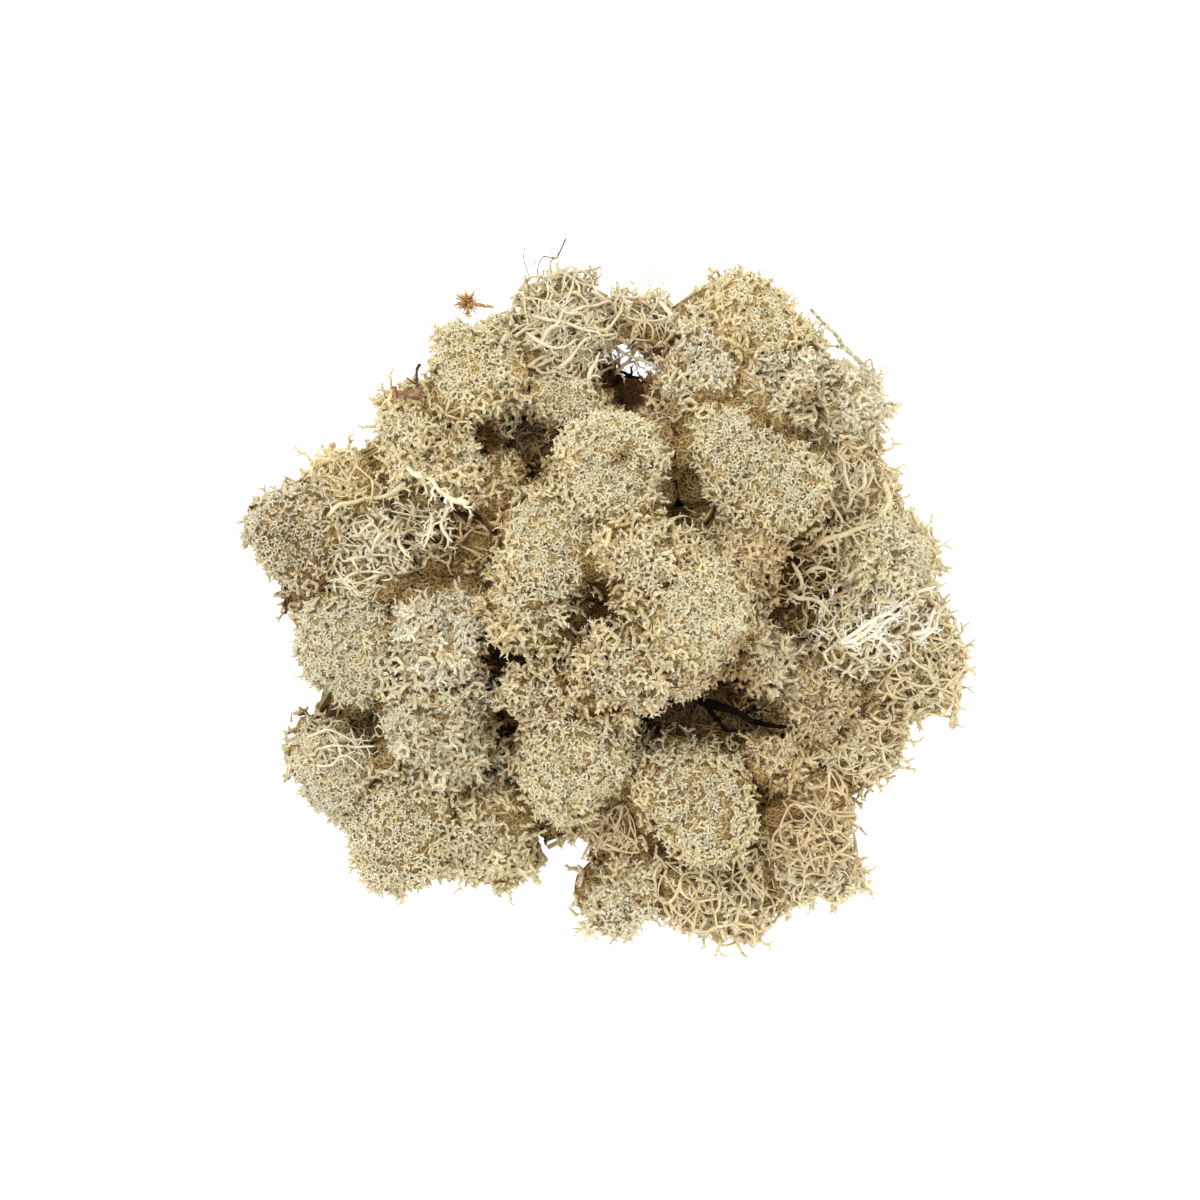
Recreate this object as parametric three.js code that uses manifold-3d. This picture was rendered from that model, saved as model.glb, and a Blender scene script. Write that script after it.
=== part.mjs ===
// Reindeer moss clump: rounded heads of a branching lichen, packed side by side in layers on a mat
// of their own dead brown stems, with a few twigs caught among them.
// Millimetres, +Z up. The origin is the middle of the flat spot that the clump rests on.
import * as THREE from "three";
import { ConvexHull } from "three/addons/math/ConvexHull.js";
import Module from "manifold-3d";

const wasm = await Module();
wasm.setup();

const CLEARANCE = 0.3; // between two pieces that touch
const LIFT = 1; // heads stay this far above the surface
const RIM = 90; // how far out the clump's edge is
const SHORTEST = 1.2; // a branchlet with less room than this is left out
const STALK_ROOM = 4; // a stalk needs this much room
const UPPER_END = -0.3; // where a head's dense side ends, as the height of a unit ball
const UPPER_SHARE = 0.84; // share of a head's branchlets on that side
const UNDERSIDE = -0.55; // nothing stands out below this height of a unit ball
const STEM_SPREAD = 0.6; // how much wider than its dome a head's lower part gets
const STEM_DEPTH = 1.9; // how far down that part runs, as a share of its width
const LUMP_HEIGHT = 0.07; // of the dome's low lumps, as a share of its radius
const LUMPS = 11;
const SEED = 20417;
const SIDEWAYS = new THREE.Vector3(0.31, 0.27, 0.91).normalize(); // no twig runs along this

const MATERIALS = {
  lichen_cream: { color: 0xded4b0, roughness: 0.9, metalness: 0 },
  lichen_golden: { color: 0xd7be8c, roughness: 0.9, metalness: 0 },
  lichen_grey: { color: 0xcdc3a0, roughness: 0.9, metalness: 0 },
  lichen_tan: { color: 0xbea578, roughness: 0.9, metalness: 0 },
  lichen_white: { color: 0xe6e1d2, roughness: 0.85, metalness: 0 },
  dead_brown: { color: 0x4a3020, roughness: 0.95, metalness: 0 },
  twig_black: { color: 0x1e1612, roughness: 0.8, metalness: 0 },
  twig_green: { color: 0x9a9150, roughness: 0.8, metalness: 0 },
  bark_brown: { color: 0x8a6446, roughness: 0.95, metalness: 0 },
  rusty: { color: 0xb4783c, roughness: 0.9, metalness: 0 },
};

// How a head grows. core: its solid middle as a share of its radius; tuft: how far its branchlets
// stand out of that, as a share of the radius; grain: the width of one branchlet's root;
// stars: the share of branchlets that end in three points; stalks: the share on a stalk.
const HABITS = {
  dense: { core: 0.84, tuft: 0.2, grain: 5.9, stars: 0.3, stalks: 0 },
  net: { core: 0.77, tuft: 0.3, grain: 6.8, stars: 0.2, stalks: 0.25 },
  open: { core: 0.66, tuft: 0.42, grain: 7.7, stars: 0.1, stalks: 0.6 },
  dead: { core: 0.8, tuft: 0.4, grain: 10, stars: 0, stalks: 0.3 },
};

// Every head: where its middle is, its radius, how high it stands over its middle as a share of the
// radius, its habit and its colour.
const HEADS = {
  middle_1: { at: [0.5, 35.6, 50], radius: 16.5, rise: 1, habit: "dense", colour: "lichen_cream" },
  middle_2: { at: [31, 40, 48], radius: 12.5, rise: 1, habit: "dense", colour: "lichen_white" },
  middle_3: { at: [45, 29, 46], radius: 14, rise: 1, habit: "dense", colour: "lichen_cream" },
  middle_4: { at: [-16.5, 14, 46], radius: 15, rise: 1, habit: "dense", colour: "lichen_cream" },
  middle_5: { at: [8, 10, 53], radius: 15, rise: 1, habit: "net", colour: "lichen_golden" },
  middle_6: { at: [24.5, -3.5, 51], radius: 16.5, rise: 1, habit: "dense", colour: "lichen_golden" },
  middle_7: { at: [36.5, 11.5, 45], radius: 11.5, rise: 1, habit: "net", colour: "lichen_golden" },
  middle_8: { at: [-22, -3.5, 42], radius: 12.5, rise: 1, habit: "net", colour: "lichen_golden" },
  middle_9: { at: [2.5, -19.5, 47], radius: 15, rise: 1, habit: "net", colour: "lichen_golden" },
  middle_10: { at: [-18.5, -28, 40], radius: 12.5, rise: 1, habit: "net", colour: "lichen_golden" },
  middle_11: { at: [20.5, -17, 44], radius: 11, rise: 1, habit: "dense", colour: "lichen_cream" },
  middle_12: { at: [-11, -44, 35], radius: 17, rise: 1, habit: "dense", colour: "lichen_cream" },
  middle_13: { at: [23, -55, 34], radius: 17.5, rise: 1, habit: "dense", colour: "lichen_cream" },
  left_1: { at: [-84, 15.5, 20], radius: 17, rise: 1, habit: "dense", colour: "lichen_grey" },
  left_2: { at: [-65, 8, 24], radius: 13.5, rise: 1, habit: "open", colour: "lichen_white" },
  left_3: { at: [-70, -14.5, 26], radius: 17, rise: 1, habit: "dense", colour: "lichen_grey" },
  left_4: { at: [-46, -11.5, 31], radius: 16.5, rise: 1, habit: "net", colour: "lichen_white" },
  left_5: { at: [-48.5, -37, 30], radius: 16.5, rise: 1, habit: "net", colour: "lichen_grey" },
  left_6: { at: [-75.5, -48.5, 24], radius: 14, rise: 1, habit: "dense", colour: "lichen_grey" },
  left_7: { at: [-56, -62, 20], radius: 19, rise: 1, habit: "dense", colour: "lichen_cream" },
  left_8: { at: [-35, -65.5, 20], radius: 15, rise: 1, habit: "net", colour: "lichen_cream" },
  left_9: { at: [-44, 17, 18], radius: 15, rise: 0.9, habit: "open", colour: "lichen_tan" },
  top_1: { at: [-36.5, 60, 32], radius: 15, rise: 1, habit: "dense", colour: "lichen_golden" },
  top_2: { at: [-54.5, 44, 26], radius: 14, rise: 1, habit: "net", colour: "lichen_golden" },
  top_3: { at: [-38, 34, 31], radius: 13, rise: 1, habit: "net", colour: "lichen_golden" },
  top_4: { at: [-11, 53, 34], radius: 10, rise: 1, habit: "dense", colour: "lichen_cream" },
  top_5: { at: [-71, 30, 14], radius: 11.5, rise: 0.8, habit: "open", colour: "lichen_golden" },
  top_6: { at: [-14, 70.5, 22], radius: 18, rise: 0.9, habit: "open", colour: "lichen_golden" },
  top_7: { at: [10.5, 73, 17], radius: 14, rise: 0.8, habit: "open", colour: "lichen_tan" },
  right_1: { at: [40.8, 76, 38], radius: 13, rise: 1, habit: "dense", colour: "lichen_golden" },
  right_2: { at: [24, 61, 34], radius: 13.5, rise: 1, habit: "net", colour: "lichen_golden" },
  right_3: { at: [46, 57, 36], radius: 13, rise: 1, habit: "net", colour: "lichen_golden" },
  right_4: { at: [66, 52, 24], radius: 12, rise: 1, habit: "net", colour: "lichen_golden" },
  right_5: { at: [66.5, 33, 19], radius: 14, rise: 0.9, habit: "open", colour: "lichen_golden" },
  right_6: { at: [53, 5, 19], radius: 16, rise: 0.9, habit: "net", colour: "lichen_tan" },
  right_7: { at: [75.5, 9.5, 25], radius: 16, rise: 1, habit: "net", colour: "lichen_cream" },
  right_8: { at: [69, -9.5, 33], radius: 12, rise: 0.8, habit: "open", colour: "lichen_white" },
  right_9: { at: [84.5, -17.5, 19], radius: 16.5, rise: 1, habit: "open", colour: "lichen_tan" },
  right_10: { at: [54.5, -28, 22], radius: 15.5, rise: 1, habit: "net", colour: "lichen_grey" },
  right_11: { at: [39, -18.5, 36], radius: 8.5, rise: 1, habit: "net", colour: "lichen_tan" },
  right_12: { at: [68, -40, 15], radius: 14, rise: 0.9, habit: "open", colour: "lichen_tan" },
  bottom_1: { at: [55.5, -61, 19], radius: 16, rise: 1, habit: "open", colour: "lichen_golden" },
  bottom_2: { at: [29, -79.5, 14], radius: 17.5, rise: 0.9, habit: "open", colour: "lichen_golden" },
  bottom_3: { at: [4, -82, 11], radius: 13, rise: 0.9, habit: "net", colour: "lichen_golden" },
  bottom_4: { at: [-2, -60, 14], radius: 12, rise: 0.9, habit: "open", colour: "lichen_tan" },
  bottom_5: { at: [43.5, -44, 32], radius: 8, rise: 1, habit: "net", colour: "lichen_golden" },
  bottom_6: { at: [54, -76, 12], radius: 13, rise: 0.9, habit: "open", colour: "lichen_golden" },
};

// The dead stems under the heads. The first one carries the middle of the clump and is flat below.
const MATS = {
  mat_middle: { at: [2, -2, 13], radius: 22, spread: 44, floor: 0 },
  mat_left: { at: [-29, -15, 15], radius: 12, spread: 24, floor: LIFT },
  mat_right: { at: [31, -34, 15], radius: 12, spread: 24, floor: LIFT },
  mat_top: { at: [-23, 41, 15], radius: 12, spread: 24, floor: LIFT },
  mat_far: { at: [10, 55, 14], radius: 10, spread: 21, floor: LIFT },
};

// Dark hollows that no head grows into.
const HOLLOWS = [
  { at: [-30, 43, 44], radius: 5 },
  { at: [-18, 43, 48], radius: 5 },
  { at: [-27, -17, 42], radius: 7 },
  { at: [-28, -35, 42], radius: 4.5 },
  { at: [15, -30, 47], radius: 4.5 },
  { at: [28, -31, 45], radius: 6 },
  { at: [42, -33, 43], radius: 4.5 },
];

// Loose bits caught in the clump. Each is a list of stems: the points a stem runs through and its
// thickness at both ends. A burst is a ball of short points.
const TWIGS = {
  black_twig: {
    colour: "twig_black",
    stems: [
      {
        points: [[24, -28, 38], [29.5, -29.6, 37.5], [34, -31, 37], [38.5, -33.8, 36]],
        thick: [2, 1.6],
      },
      { points: [[38, -33.5, 36.1], [44.5, -34.9, 36], [47.8, -35, 35.5]], thick: [1.6, 1.2] },
      {
        points: [[25, -28.5, 38], [29.5, -33.8, 36], [31.6, -36, 35], [34.3, -36, 35]],
        thick: [1.6, 1.1],
      },
    ],
  },
  green_twig: {
    colour: "twig_green",
    stems: [
      { points: [[54, 77.8, 39], [57.5, 73.9, 40], [60.5, 71, 40], [62.9, 67.5, 39]], thick: [1, 1.1] },
      {
        points: [[62.8, 67.8, 39.1], [67.5, 63.2, 37], [68.8, 59.9, 35.8], [70.5, 57.4, 35.1]],
        thick: [1.1, 1.3],
      },
      { points: [[57.6, 73.8, 40], [56.2, 72.4, 40], [58.3, 68.9, 39]], thick: [0.9, 0.6] },
      { points: [[63.7, 66.7, 39], [58.8, 67.8, 37]], thick: [0.9, 0.6] },
      { points: [[68, 62.4, 36.8], [70.2, 64, 38], [71, 59.8, 38]], thick: [0.8, 0.6] },
    ],
  },
  rusty_shoot: {
    colour: "rusty",
    stems: [
      { points: [[-38.6, 79.5, 34], [-34.8, 78.8, 33.4], [-31.4, 78.3, 32.8]], thick: [1.8, 1] },
      { points: [[-38.6, 79.5, 34], [-37.8, 75.2, 34.6]], thick: [1.8, 1] },
    ],
    burst: { at: [-38.6, 79.5, 34], reach: 4.6, thick: 1.6, count: 12 },
  },
  bark_stub: {
    colour: "bark_brown",
    stems: [
      { points: [[-58.6, 54.6, 37.6], [-50.4, 55.4, 37.6]], thick: [2.2, 2.4] },
      { points: [[-58, 57, 38.4], [-57.9, 53.2, 38]], thick: [1.4, 1.4] },
    ],
  },
  dark_stem: {
    colour: "twig_black",
    stems: [
      { points: [[-51.2, 62.8, 38.4], [-52.1, 61, 38.9], [-52, 56.6, 39.3]], thick: [0.9, 0.9] },
      { points: [[-52.1, 57.4, 39.3], [-54.8, 59.2, 39.3]], thick: [0.7, 0.6] },
    ],
  },
  hooked_thread: {
    colour: "twig_black",
    stems: [
      {
        points: [[-19.5, 85, 28], [-19.6, 88.6, 28.2], [-18.8, 91.2, 28.6], [-17.7, 92.2, 28.6]],
        thick: [0.6, 0.6],
      },
      {
        points: [[-17.8, 92.2, 28.6], [-14.7, 91.7, 29], [-13.6, 93.4, 29], [-11.9, 97.2, 29]],
        thick: [0.6, 0.6],
      },
    ],
  },
};

const { clamp, lerp } = THREE.MathUtils;

function seededRandom(seed) {
  let state = seed;
  return () => {
    state = (state + 0x6d2b79f5) | 0;
    let mixed = Math.imul(state ^ (state >>> 15), 1 | state);
    mixed = (mixed + Math.imul(mixed ^ (mixed >>> 7), 61 | mixed)) ^ mixed;
    return ((mixed ^ (mixed >>> 14)) >>> 0) / 4294967296;
  };
}

// Each cell keeps to its own side of flat walls that it shares with its neighbours. A wall stands
// where both spheres would cut each other, and a cell stays half the clearance inside it.
function buildCells() {
  const cells = [];
  for (const [name, head] of Object.entries(HEADS)) {
    const spread = head.radius * HABITS[head.habit].core;
    cells.push({ ...head, name: `head_${name}`, spread, floor: LIFT });
  }
  for (const [name, mat] of Object.entries(MATS)) {
    cells.push({ ...mat, name, rise: 0.8, habit: "dead", colour: "dead_brown" });
  }
  for (const hollow of HOLLOWS) {
    cells.push({ ...hollow, name: null });
  }
  for (const cell of cells) {
    cell.centre = new THREE.Vector3(...cell.at);
  }
  for (const cell of cells) {
    cell.walls = wallsOf(cell, cells);
  }
  return cells.filter((cell) => cell.name);
}

function wallsOf(cell, cells) {
  const walls = [{ normal: new THREE.Vector3(0, 0, -1), distance: cell.centre.z - cell.floor }];
  for (const other of cells) {
    if (other === cell) continue;
    const normal = other.centre.clone().sub(cell.centre);
    const apart = normal.length();
    const share = (apart ** 2 + cell.radius ** 2 - other.radius ** 2) / (2 * apart);
    walls.push({ normal: normal.normalize(), distance: share - CLEARANCE / 2 });
  }
  return walls;
}

// How far a ray from the cell's middle runs before it meets a wall.
function reach(cell, direction) {
  let nearest = Infinity;
  for (const wall of cell.walls) {
    const facing = wall.normal.dot(direction);
    if (facing > 1e-6) nearest = Math.min(nearest, wall.distance / facing);
  }
  return nearest;
}

// Directions spread by the golden angle. heightAt says how far up the i-th one points.
function spiralDirections(count, turn, heightAt) {
  const golden = Math.PI * (3 - Math.sqrt(5));
  const directions = [];
  for (let i = 0; i < count; i += 1) {
    const up = heightAt((i + 0.5) / count);
    const out = Math.sqrt(1 - up * up);
    const angle = turn + golden * i;
    directions.push(new THREE.Vector3(out * Math.cos(angle), out * Math.sin(angle), up));
  }
  return directions;
}

const evenDirections = (count, turn = 0) => spiralDirections(count, turn, (share) => 1 - 2 * share);

// Sparser on the underside, from a little below the widest part down.
const headDirections = (count, turn) =>
  spiralDirections(count, turn, (share) => {
    if (share < UPPER_SHARE) return lerp(1, UPPER_END, share / UPPER_SHARE);
    return lerp(UPPER_END, -1, (share - UPPER_SHARE) / (1 - UPPER_SHARE));
  });

// The triangles of the ball that the directions make, as index triples with faces out.
function ballFaces(directions) {
  const hull = new ConvexHull().setFromPoints(directions);
  const places = new Map(directions.map((direction, i) => [direction, i]));
  return hull.faces.map((face) => {
    const corners = [];
    let edge = face.edge;
    do {
      corners.push(places.get(edge.head().point));
      edge = edge.next;
    } while (edge !== face.edge);
    return corners;
  });
}

// The solid middle: a dome with low lumps. Below, towards the clump's middle, its stems spread until
// they meet the next head's, and on the outer side they draw in under the dome.
function coreRadius(cell, direction, lumps) {
  const away = new THREE.Vector2(cell.centre.x, cell.centre.y).divideScalar(RIM);
  const outer = clamp(2.5 * (away.x * direction.x + away.y * direction.y), 0, 1);
  const below = clamp(-2 * direction.z, 0, 1);
  const across = cell.spread * (1 + STEM_SPREAD * below * (1 - outer));
  const upright = direction.z > 0 ? across * cell.rise : across * STEM_DEPTH;
  const level = direction.x ** 2 + direction.y ** 2;
  let radius = 1 / Math.sqrt(level / across ** 2 + direction.z ** 2 / upright ** 2);
  for (const lump of lumps) {
    radius *= 1 + LUMP_HEIGHT * Math.max(0, direction.dot(lump) - 0.5);
  }
  return radius;
}

function blend(a, b, c, shares) {
  const mixed = new THREE.Vector3().addScaledVector(a, shares[0]);
  return mixed.addScaledVector(b, shares[1]).addScaledVector(c, shares[2]);
}

const middleOf = (corners) => blend(...corners, [1 / 3, 1 / 3, 1 / 3]);

// A point this far along the ray towards a target, or where the ray meets the cell's wall.
function kept(cell, target, distance) {
  const ray = target.clone().normalize();
  return ray.multiplyScalar(Math.min(distance, reach(cell, ray)));
}

function spike([a, b, c], tip) {
  return [[a, b, tip], [b, c, tip], [c, a, tip]];
}

// Three points that part from a raised middle, each over its own third of the triangle. They lean
// out towards the corners of aim, and stay in the rays over it, so that no two of them cross.
function star(cell, corners, aim, length) {
  const middle = middleOf(corners);
  const fork = kept(cell, middle, middle.length() + length * 0.3);
  const rays = [...aim, middle].map((point) => point.clone().normalize());
  return [0, 1, 2].flatMap((n) => {
    const next = (n + 1) % 3;
    const ray = blend(rays[n], rays[next], rays[3], [0.4, 0.4, 0.2]);
    const tip = kept(cell, ray, middle.length() + length);
    return spike([corners[n], corners[next], fork], tip);
  });
}

// A star on a stalk that is half as wide as the triangle it grows from.
function stalk(cell, corners, length) {
  const middle = middleOf(corners);
  const top = corners.map((corner) => {
    const inward = corner.clone().lerp(middle, 0.5);
    return kept(cell, inward, inward.length() + length * 0.45);
  });
  const sides = [0, 1, 2].flatMap((n) => {
    const next = (n + 1) % 3;
    return [[corners[n], corners[next], top[next]], [corners[n], top[next], top[n]]];
  });
  return [...sides, ...star(cell, top, corners, length * 0.55)];
}

// What grows on one triangle of the core, as triangles: a star, a stalk, a leaning point, or
// nothing where a neighbour or the head's own underside leaves no room.
function branchlet(cell, habit, corners, random) {
  const middle = middleOf(corners);
  const base = middle.length();
  const room = reach(cell, middle.clone().normalize()) - base;
  const length = Math.min(cell.radius * habit.tuft * (0.75 + 0.5 * random()), room);
  const kind = random();
  const lean = [0.2 + random(), 0.2 + random(), 0.2 + random()];
  if (length < SHORTEST || middle.z < UNDERSIDE * base) return [corners];
  if (kind < habit.stars) return star(cell, corners, corners, length);
  if (kind < habit.stars + habit.stalks && length > STALK_ROOM) return stalk(cell, corners, length);
  return spike(corners, kept(cell, blend(...corners, lean), base + length));
}

function buildHead(cell, seed) {
  const random = seededRandom(seed);
  const habit = HABITS[cell.habit];
  const count = Math.round(10 + (2.6 * Math.PI * cell.spread ** 2) / habit.grain ** 2);
  const directions = headDirections(count, random() * 2 * Math.PI);
  const lumps = evenDirections(LUMPS, random() * 2 * Math.PI);
  const points = directions.map((direction) =>
    kept(cell, direction, coreRadius(cell, direction, lumps)),
  );
  const faces = ballFaces(directions);
  return faces.flatMap((face) => branchlet(cell, habit, face.map((i) => points[i]), random));
}

function geometryOf(triangles) {
  const positions = triangles.flat().flatMap((corner) => corner.toArray());
  const geometry = new THREE.BufferGeometry();
  geometry.setAttribute("position", new THREE.Float32BufferAttribute(positions, 3));
  geometry.computeVertexNormals();
  return geometry;
}

// A closed tube with five sides through the path's points, thinning evenly from start to end.
function tube(path, startThick, endThick) {
  const sides = 5;
  const vertices = [];
  const faces = [];
  path.forEach((point, i) => {
    const before = path[Math.max(0, i - 1)];
    const after = path[Math.min(path.length - 1, i + 1)];
    const along = after.clone().sub(before).normalize();
    const across = new THREE.Vector3().crossVectors(along, SIDEWAYS).normalize();
    const other = new THREE.Vector3().crossVectors(along, across);
    const radius = lerp(startThick, endThick, i / (path.length - 1)) / 2;
    for (let n = 0; n < sides; n += 1) {
      const angle = (2 * Math.PI * n) / sides;
      const corner = point.clone().addScaledVector(across, radius * Math.cos(angle));
      vertices.push(...corner.addScaledVector(other, radius * Math.sin(angle)));
    }
  });
  const last = (path.length - 1) * sides;
  for (let start = 0; start < last; start += sides) {
    for (let n = 0; n < sides; n += 1) {
      const next = (n + 1) % sides;
      faces.push(start + n, start + next, start + sides + next);
      faces.push(start + n, start + sides + next, start + sides + n);
    }
  }
  for (let n = 1; n < sides - 1; n += 1) {
    faces.push(0, n + 1, n, last, last + n, last + n + 1);
  }
  return new wasm.Manifold(
    new wasm.Mesh({
      numProp: 3,
      vertProperties: new Float32Array(vertices),
      triVerts: new Uint32Array(faces),
    }),
  );
}

function buildTwig({ stems, burst }, seed) {
  const random = seededRandom(seed);
  const tubes = stems.map(({ points, thick }) =>
    tube(points.map((point) => new THREE.Vector3(...point)), ...thick),
  );
  if (burst) {
    const centre = new THREE.Vector3(...burst.at);
    for (const direction of evenDirections(burst.count)) {
      const tip = centre.clone().addScaledVector(direction, burst.reach * (0.75 + 0.25 * random()));
      tubes.push(tube([centre, tip], burst.thick, 0.4));
    }
  }
  const mesh = tubes.reduce((joined, next) => joined.add(next)).getMesh();
  const geometry = new THREE.BufferGeometry();
  geometry.setAttribute("position", new THREE.BufferAttribute(mesh.vertProperties, 3));
  geometry.setIndex(new THREE.BufferAttribute(mesh.triVerts, 1));
  geometry.computeVertexNormals();
  return geometry;
}

function place(name, geometry, colour, centre = new THREE.Vector3()) {
  const mesh = new THREE.Mesh(geometry, new THREE.MeshStandardMaterial(MATERIALS[colour]));
  mesh.name = name;
  mesh.position.copy(centre);
  clump.add(mesh);
}

const clump = new THREE.Group();
buildCells().forEach((cell, index) => {
  place(cell.name, geometryOf(buildHead(cell, SEED + index)), cell.colour, cell.centre);
});
Object.entries(TWIGS).forEach(([name, twig], index) => {
  place(name, buildTwig(twig, SEED + 100 + index), twig.colour);
});

export default clump;
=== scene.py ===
import math

import bpy
import numpy as np
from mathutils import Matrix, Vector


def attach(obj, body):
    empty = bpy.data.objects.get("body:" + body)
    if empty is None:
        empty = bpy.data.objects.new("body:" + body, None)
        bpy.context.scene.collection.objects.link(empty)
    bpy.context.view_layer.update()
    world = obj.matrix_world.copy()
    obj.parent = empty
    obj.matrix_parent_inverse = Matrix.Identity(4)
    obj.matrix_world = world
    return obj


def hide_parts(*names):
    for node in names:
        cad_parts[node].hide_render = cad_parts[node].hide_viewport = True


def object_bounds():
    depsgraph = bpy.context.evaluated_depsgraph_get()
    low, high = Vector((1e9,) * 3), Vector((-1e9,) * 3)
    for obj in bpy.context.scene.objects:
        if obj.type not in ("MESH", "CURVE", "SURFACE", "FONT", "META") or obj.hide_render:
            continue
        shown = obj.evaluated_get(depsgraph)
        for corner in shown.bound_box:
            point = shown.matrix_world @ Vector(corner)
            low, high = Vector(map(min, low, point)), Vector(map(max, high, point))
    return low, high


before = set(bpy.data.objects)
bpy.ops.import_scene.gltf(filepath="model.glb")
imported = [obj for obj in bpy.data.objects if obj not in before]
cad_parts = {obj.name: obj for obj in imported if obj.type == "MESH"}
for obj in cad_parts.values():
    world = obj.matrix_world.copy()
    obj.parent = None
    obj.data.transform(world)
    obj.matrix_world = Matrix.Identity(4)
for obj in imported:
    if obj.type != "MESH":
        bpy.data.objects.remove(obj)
cadBox = [list(corner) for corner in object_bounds()]
mm = 0.001
margin = 0.1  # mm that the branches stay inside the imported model's box
boxLow = np.array(cadBox[0]) / mm + margin
boxHigh = np.array(cadBox[1]) / mm - margin
wholeTurn = 2 * math.pi
tiny = 1e-6  # keeps a division from failing
far = 1e9  # further than any piece of the clump
skew = [0.31, 0.27, 0.91]  # few branches run this way, so rings take their sideways direction from it


def linked(name, data):
    thing = bpy.data.objects.new(name, data)
    bpy.context.scene.collection.objects.link(thing)
    return thing


view = {"middle": (-2.7, -0.8, 35), "width": 324, "lens": 250, "sensor": 36}

cameraData = bpy.data.cameras.new("camera")
cameraData.lens = view["lens"]
cameraData.sensor_width = view["sensor"]
camera = linked("camera", cameraData)
away = view["width"] / 2 * view["lens"] / (view["sensor"] / 2)  # so that the frame is that wide there
camera.location = (view["middle"][0] * mm, view["middle"][1] * mm, (view["middle"][2] + away) * mm)
bpy.context.scene.camera = camera
bpy.context.scene.view_settings.view_transform = "Standard"

light = {"size": 900, "at": (-420, 520, 1150), "power": 5.0, "sky": 1.225, "skyColour": (1, 0.98, 0.94)}

lampData = bpy.data.lights.new("softbox", "AREA")
lampData.shape = "DISK"
lampData.size = light["size"] * mm
lampData.energy = light["power"]
lamp = linked("softbox", lampData)
lamp.location = [v * mm for v in light["at"]]
lamp.rotation_mode = "QUATERNION"
lamp.rotation_quaternion = lamp.location.to_track_quat("Z", "Y")

world = bpy.data.worlds.new("studio")
world.use_nodes = True
world.node_tree.nodes["Background"].inputs["Color"].default_value = (*light["skyColour"], 1)
world.node_tree.nodes["Background"].inputs["Strength"].default_value = light["sky"]
bpy.context.scene.world = world
print("camera and light ready")

# how each kind of head grows, in mm. Pairs give the crown's value and the flanks'. A rosette has its
# spacing, its hole and reach as shares of that, the lift of its arms' ends, and the shares of arms with
# forks and of ends with points, with their lengths. Rosettes sink by domelets between the branches
# under them and by uneven at random. lumps, knobs and lobes shape the dome, and share is how wide the
# stems below it stand. web is the spacing of an open head's thick net and second the depth of a second
# layer of plain rosettes, where 0 means none; core is the depth of the shaded middle. net gives the
# branches that carry the rosettes, and antlers the sprigs, which grow where the crown is under below
habits = {
    "dense": {
        "crown": 0.25, "spacing": (2.0, 3.7), "hole": (0.22, 0.3), "reach": (0.64, 0.62),
        "lift": (0.6, 0.5), "forks": (0.75, 0.95), "points": (0.0, 0.25), "forkLength": (0.65, 1.0),
        "pointLength": (0.4, 0.6), "armThick": (0.75, 1.25), "bend": 0.2, "tilt": 0.3,
        "domelets": 0.45, "uneven": 0.4, "lumps": 1.8, "knobs": 0.8, "lobes": 1.7, "share": 0.84,
        "web": 0, "second": 0, "core": 2.3,
        "net": {"spacing": (4.4, 4.4), "depth": 2.6, "rough": 0.5, "thick": 1.0},
        "antlers": {"spacing": 6.0, "depth": 2.0, "long": 2.5, "thick": 1.2, "below": 0.4},
    },
    "net": {
        "crown": -0.15, "spacing": (2.8, 4.4), "hole": (0.26, 0.34), "reach": (0.62, 0.64),
        "lift": (0.9, 0.7), "forks": (0.9, 0.95), "points": (0.25, 0.35), "forkLength": (0.85, 1.2),
        "pointLength": (0.5, 0.7), "armThick": (1.0, 1.5), "bend": 0.3, "tilt": 0.36,
        "domelets": 0.9, "uneven": 0.8, "lumps": 2.4, "knobs": 1.4, "lobes": 3.0, "share": 0.77,
        "web": 0, "second": 1.9, "core": 3.6,
        "net": {"spacing": (4.6, 5.0), "depth": 4.2, "rough": 0.9, "thick": 1.2},
        "antlers": {"spacing": 5.4, "depth": 2.3, "long": 3.2, "thick": 1.5, "below": 0.6},
    },
    "open": {
        "crown": -0.45, "spacing": (3.6, 4.9), "hole": (0.26, 0.34), "reach": (0.62, 0.66),
        "lift": (0.9, 0.7), "forks": (0.9, 0.9), "points": (0.3, 0.3), "forkLength": (1.0, 1.4),
        "pointLength": (0.6, 0.75), "armThick": (1.0, 1.5), "bend": 0.35, "tilt": 0.42,
        "domelets": 1.0, "uneven": 1.2, "lumps": 2.6, "knobs": 1.6, "lobes": 2.4, "share": 0.66,
        "web": 4.7, "webThick": 1.3, "second": 2.4, "core": 4.4,
        "net": {"spacing": (4.6, 5.0), "depth": 5.0, "rough": 1.3, "thick": 1.3},
        "antlers": {"spacing": 5.8, "depth": 2.2, "long": 3.6, "thick": 1.5, "below": 1.1},
    },
    "dead": {
        "crown": -1, "spacing": (5.5, 5.5), "hole": (0.2, 0.2), "reach": (0.75, 0.75),
        "lift": (0.5, 0.5), "forks": (0.7, 0.7), "points": (0.2, 0.2), "forkLength": (1.8, 1.8),
        "pointLength": (1.0, 1.0), "armThick": (1.0, 1.0), "bend": 0.5, "tilt": 0.5,
        "domelets": 1.0, "uneven": 1.4, "lumps": 2, "knobs": 1.4, "lobes": 0, "share": 1.0,
        "web": 0, "second": 0, "core": 3.2,
        "net": {"spacing": (5.5, 5.5), "depth": 2.4, "rough": 1.2, "thick": 1.2},
        "antlers": {"spacing": 7.0, "depth": 2.0, "long": 5.0, "thick": 1.2, "below": 1.1},
    },
}


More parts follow.
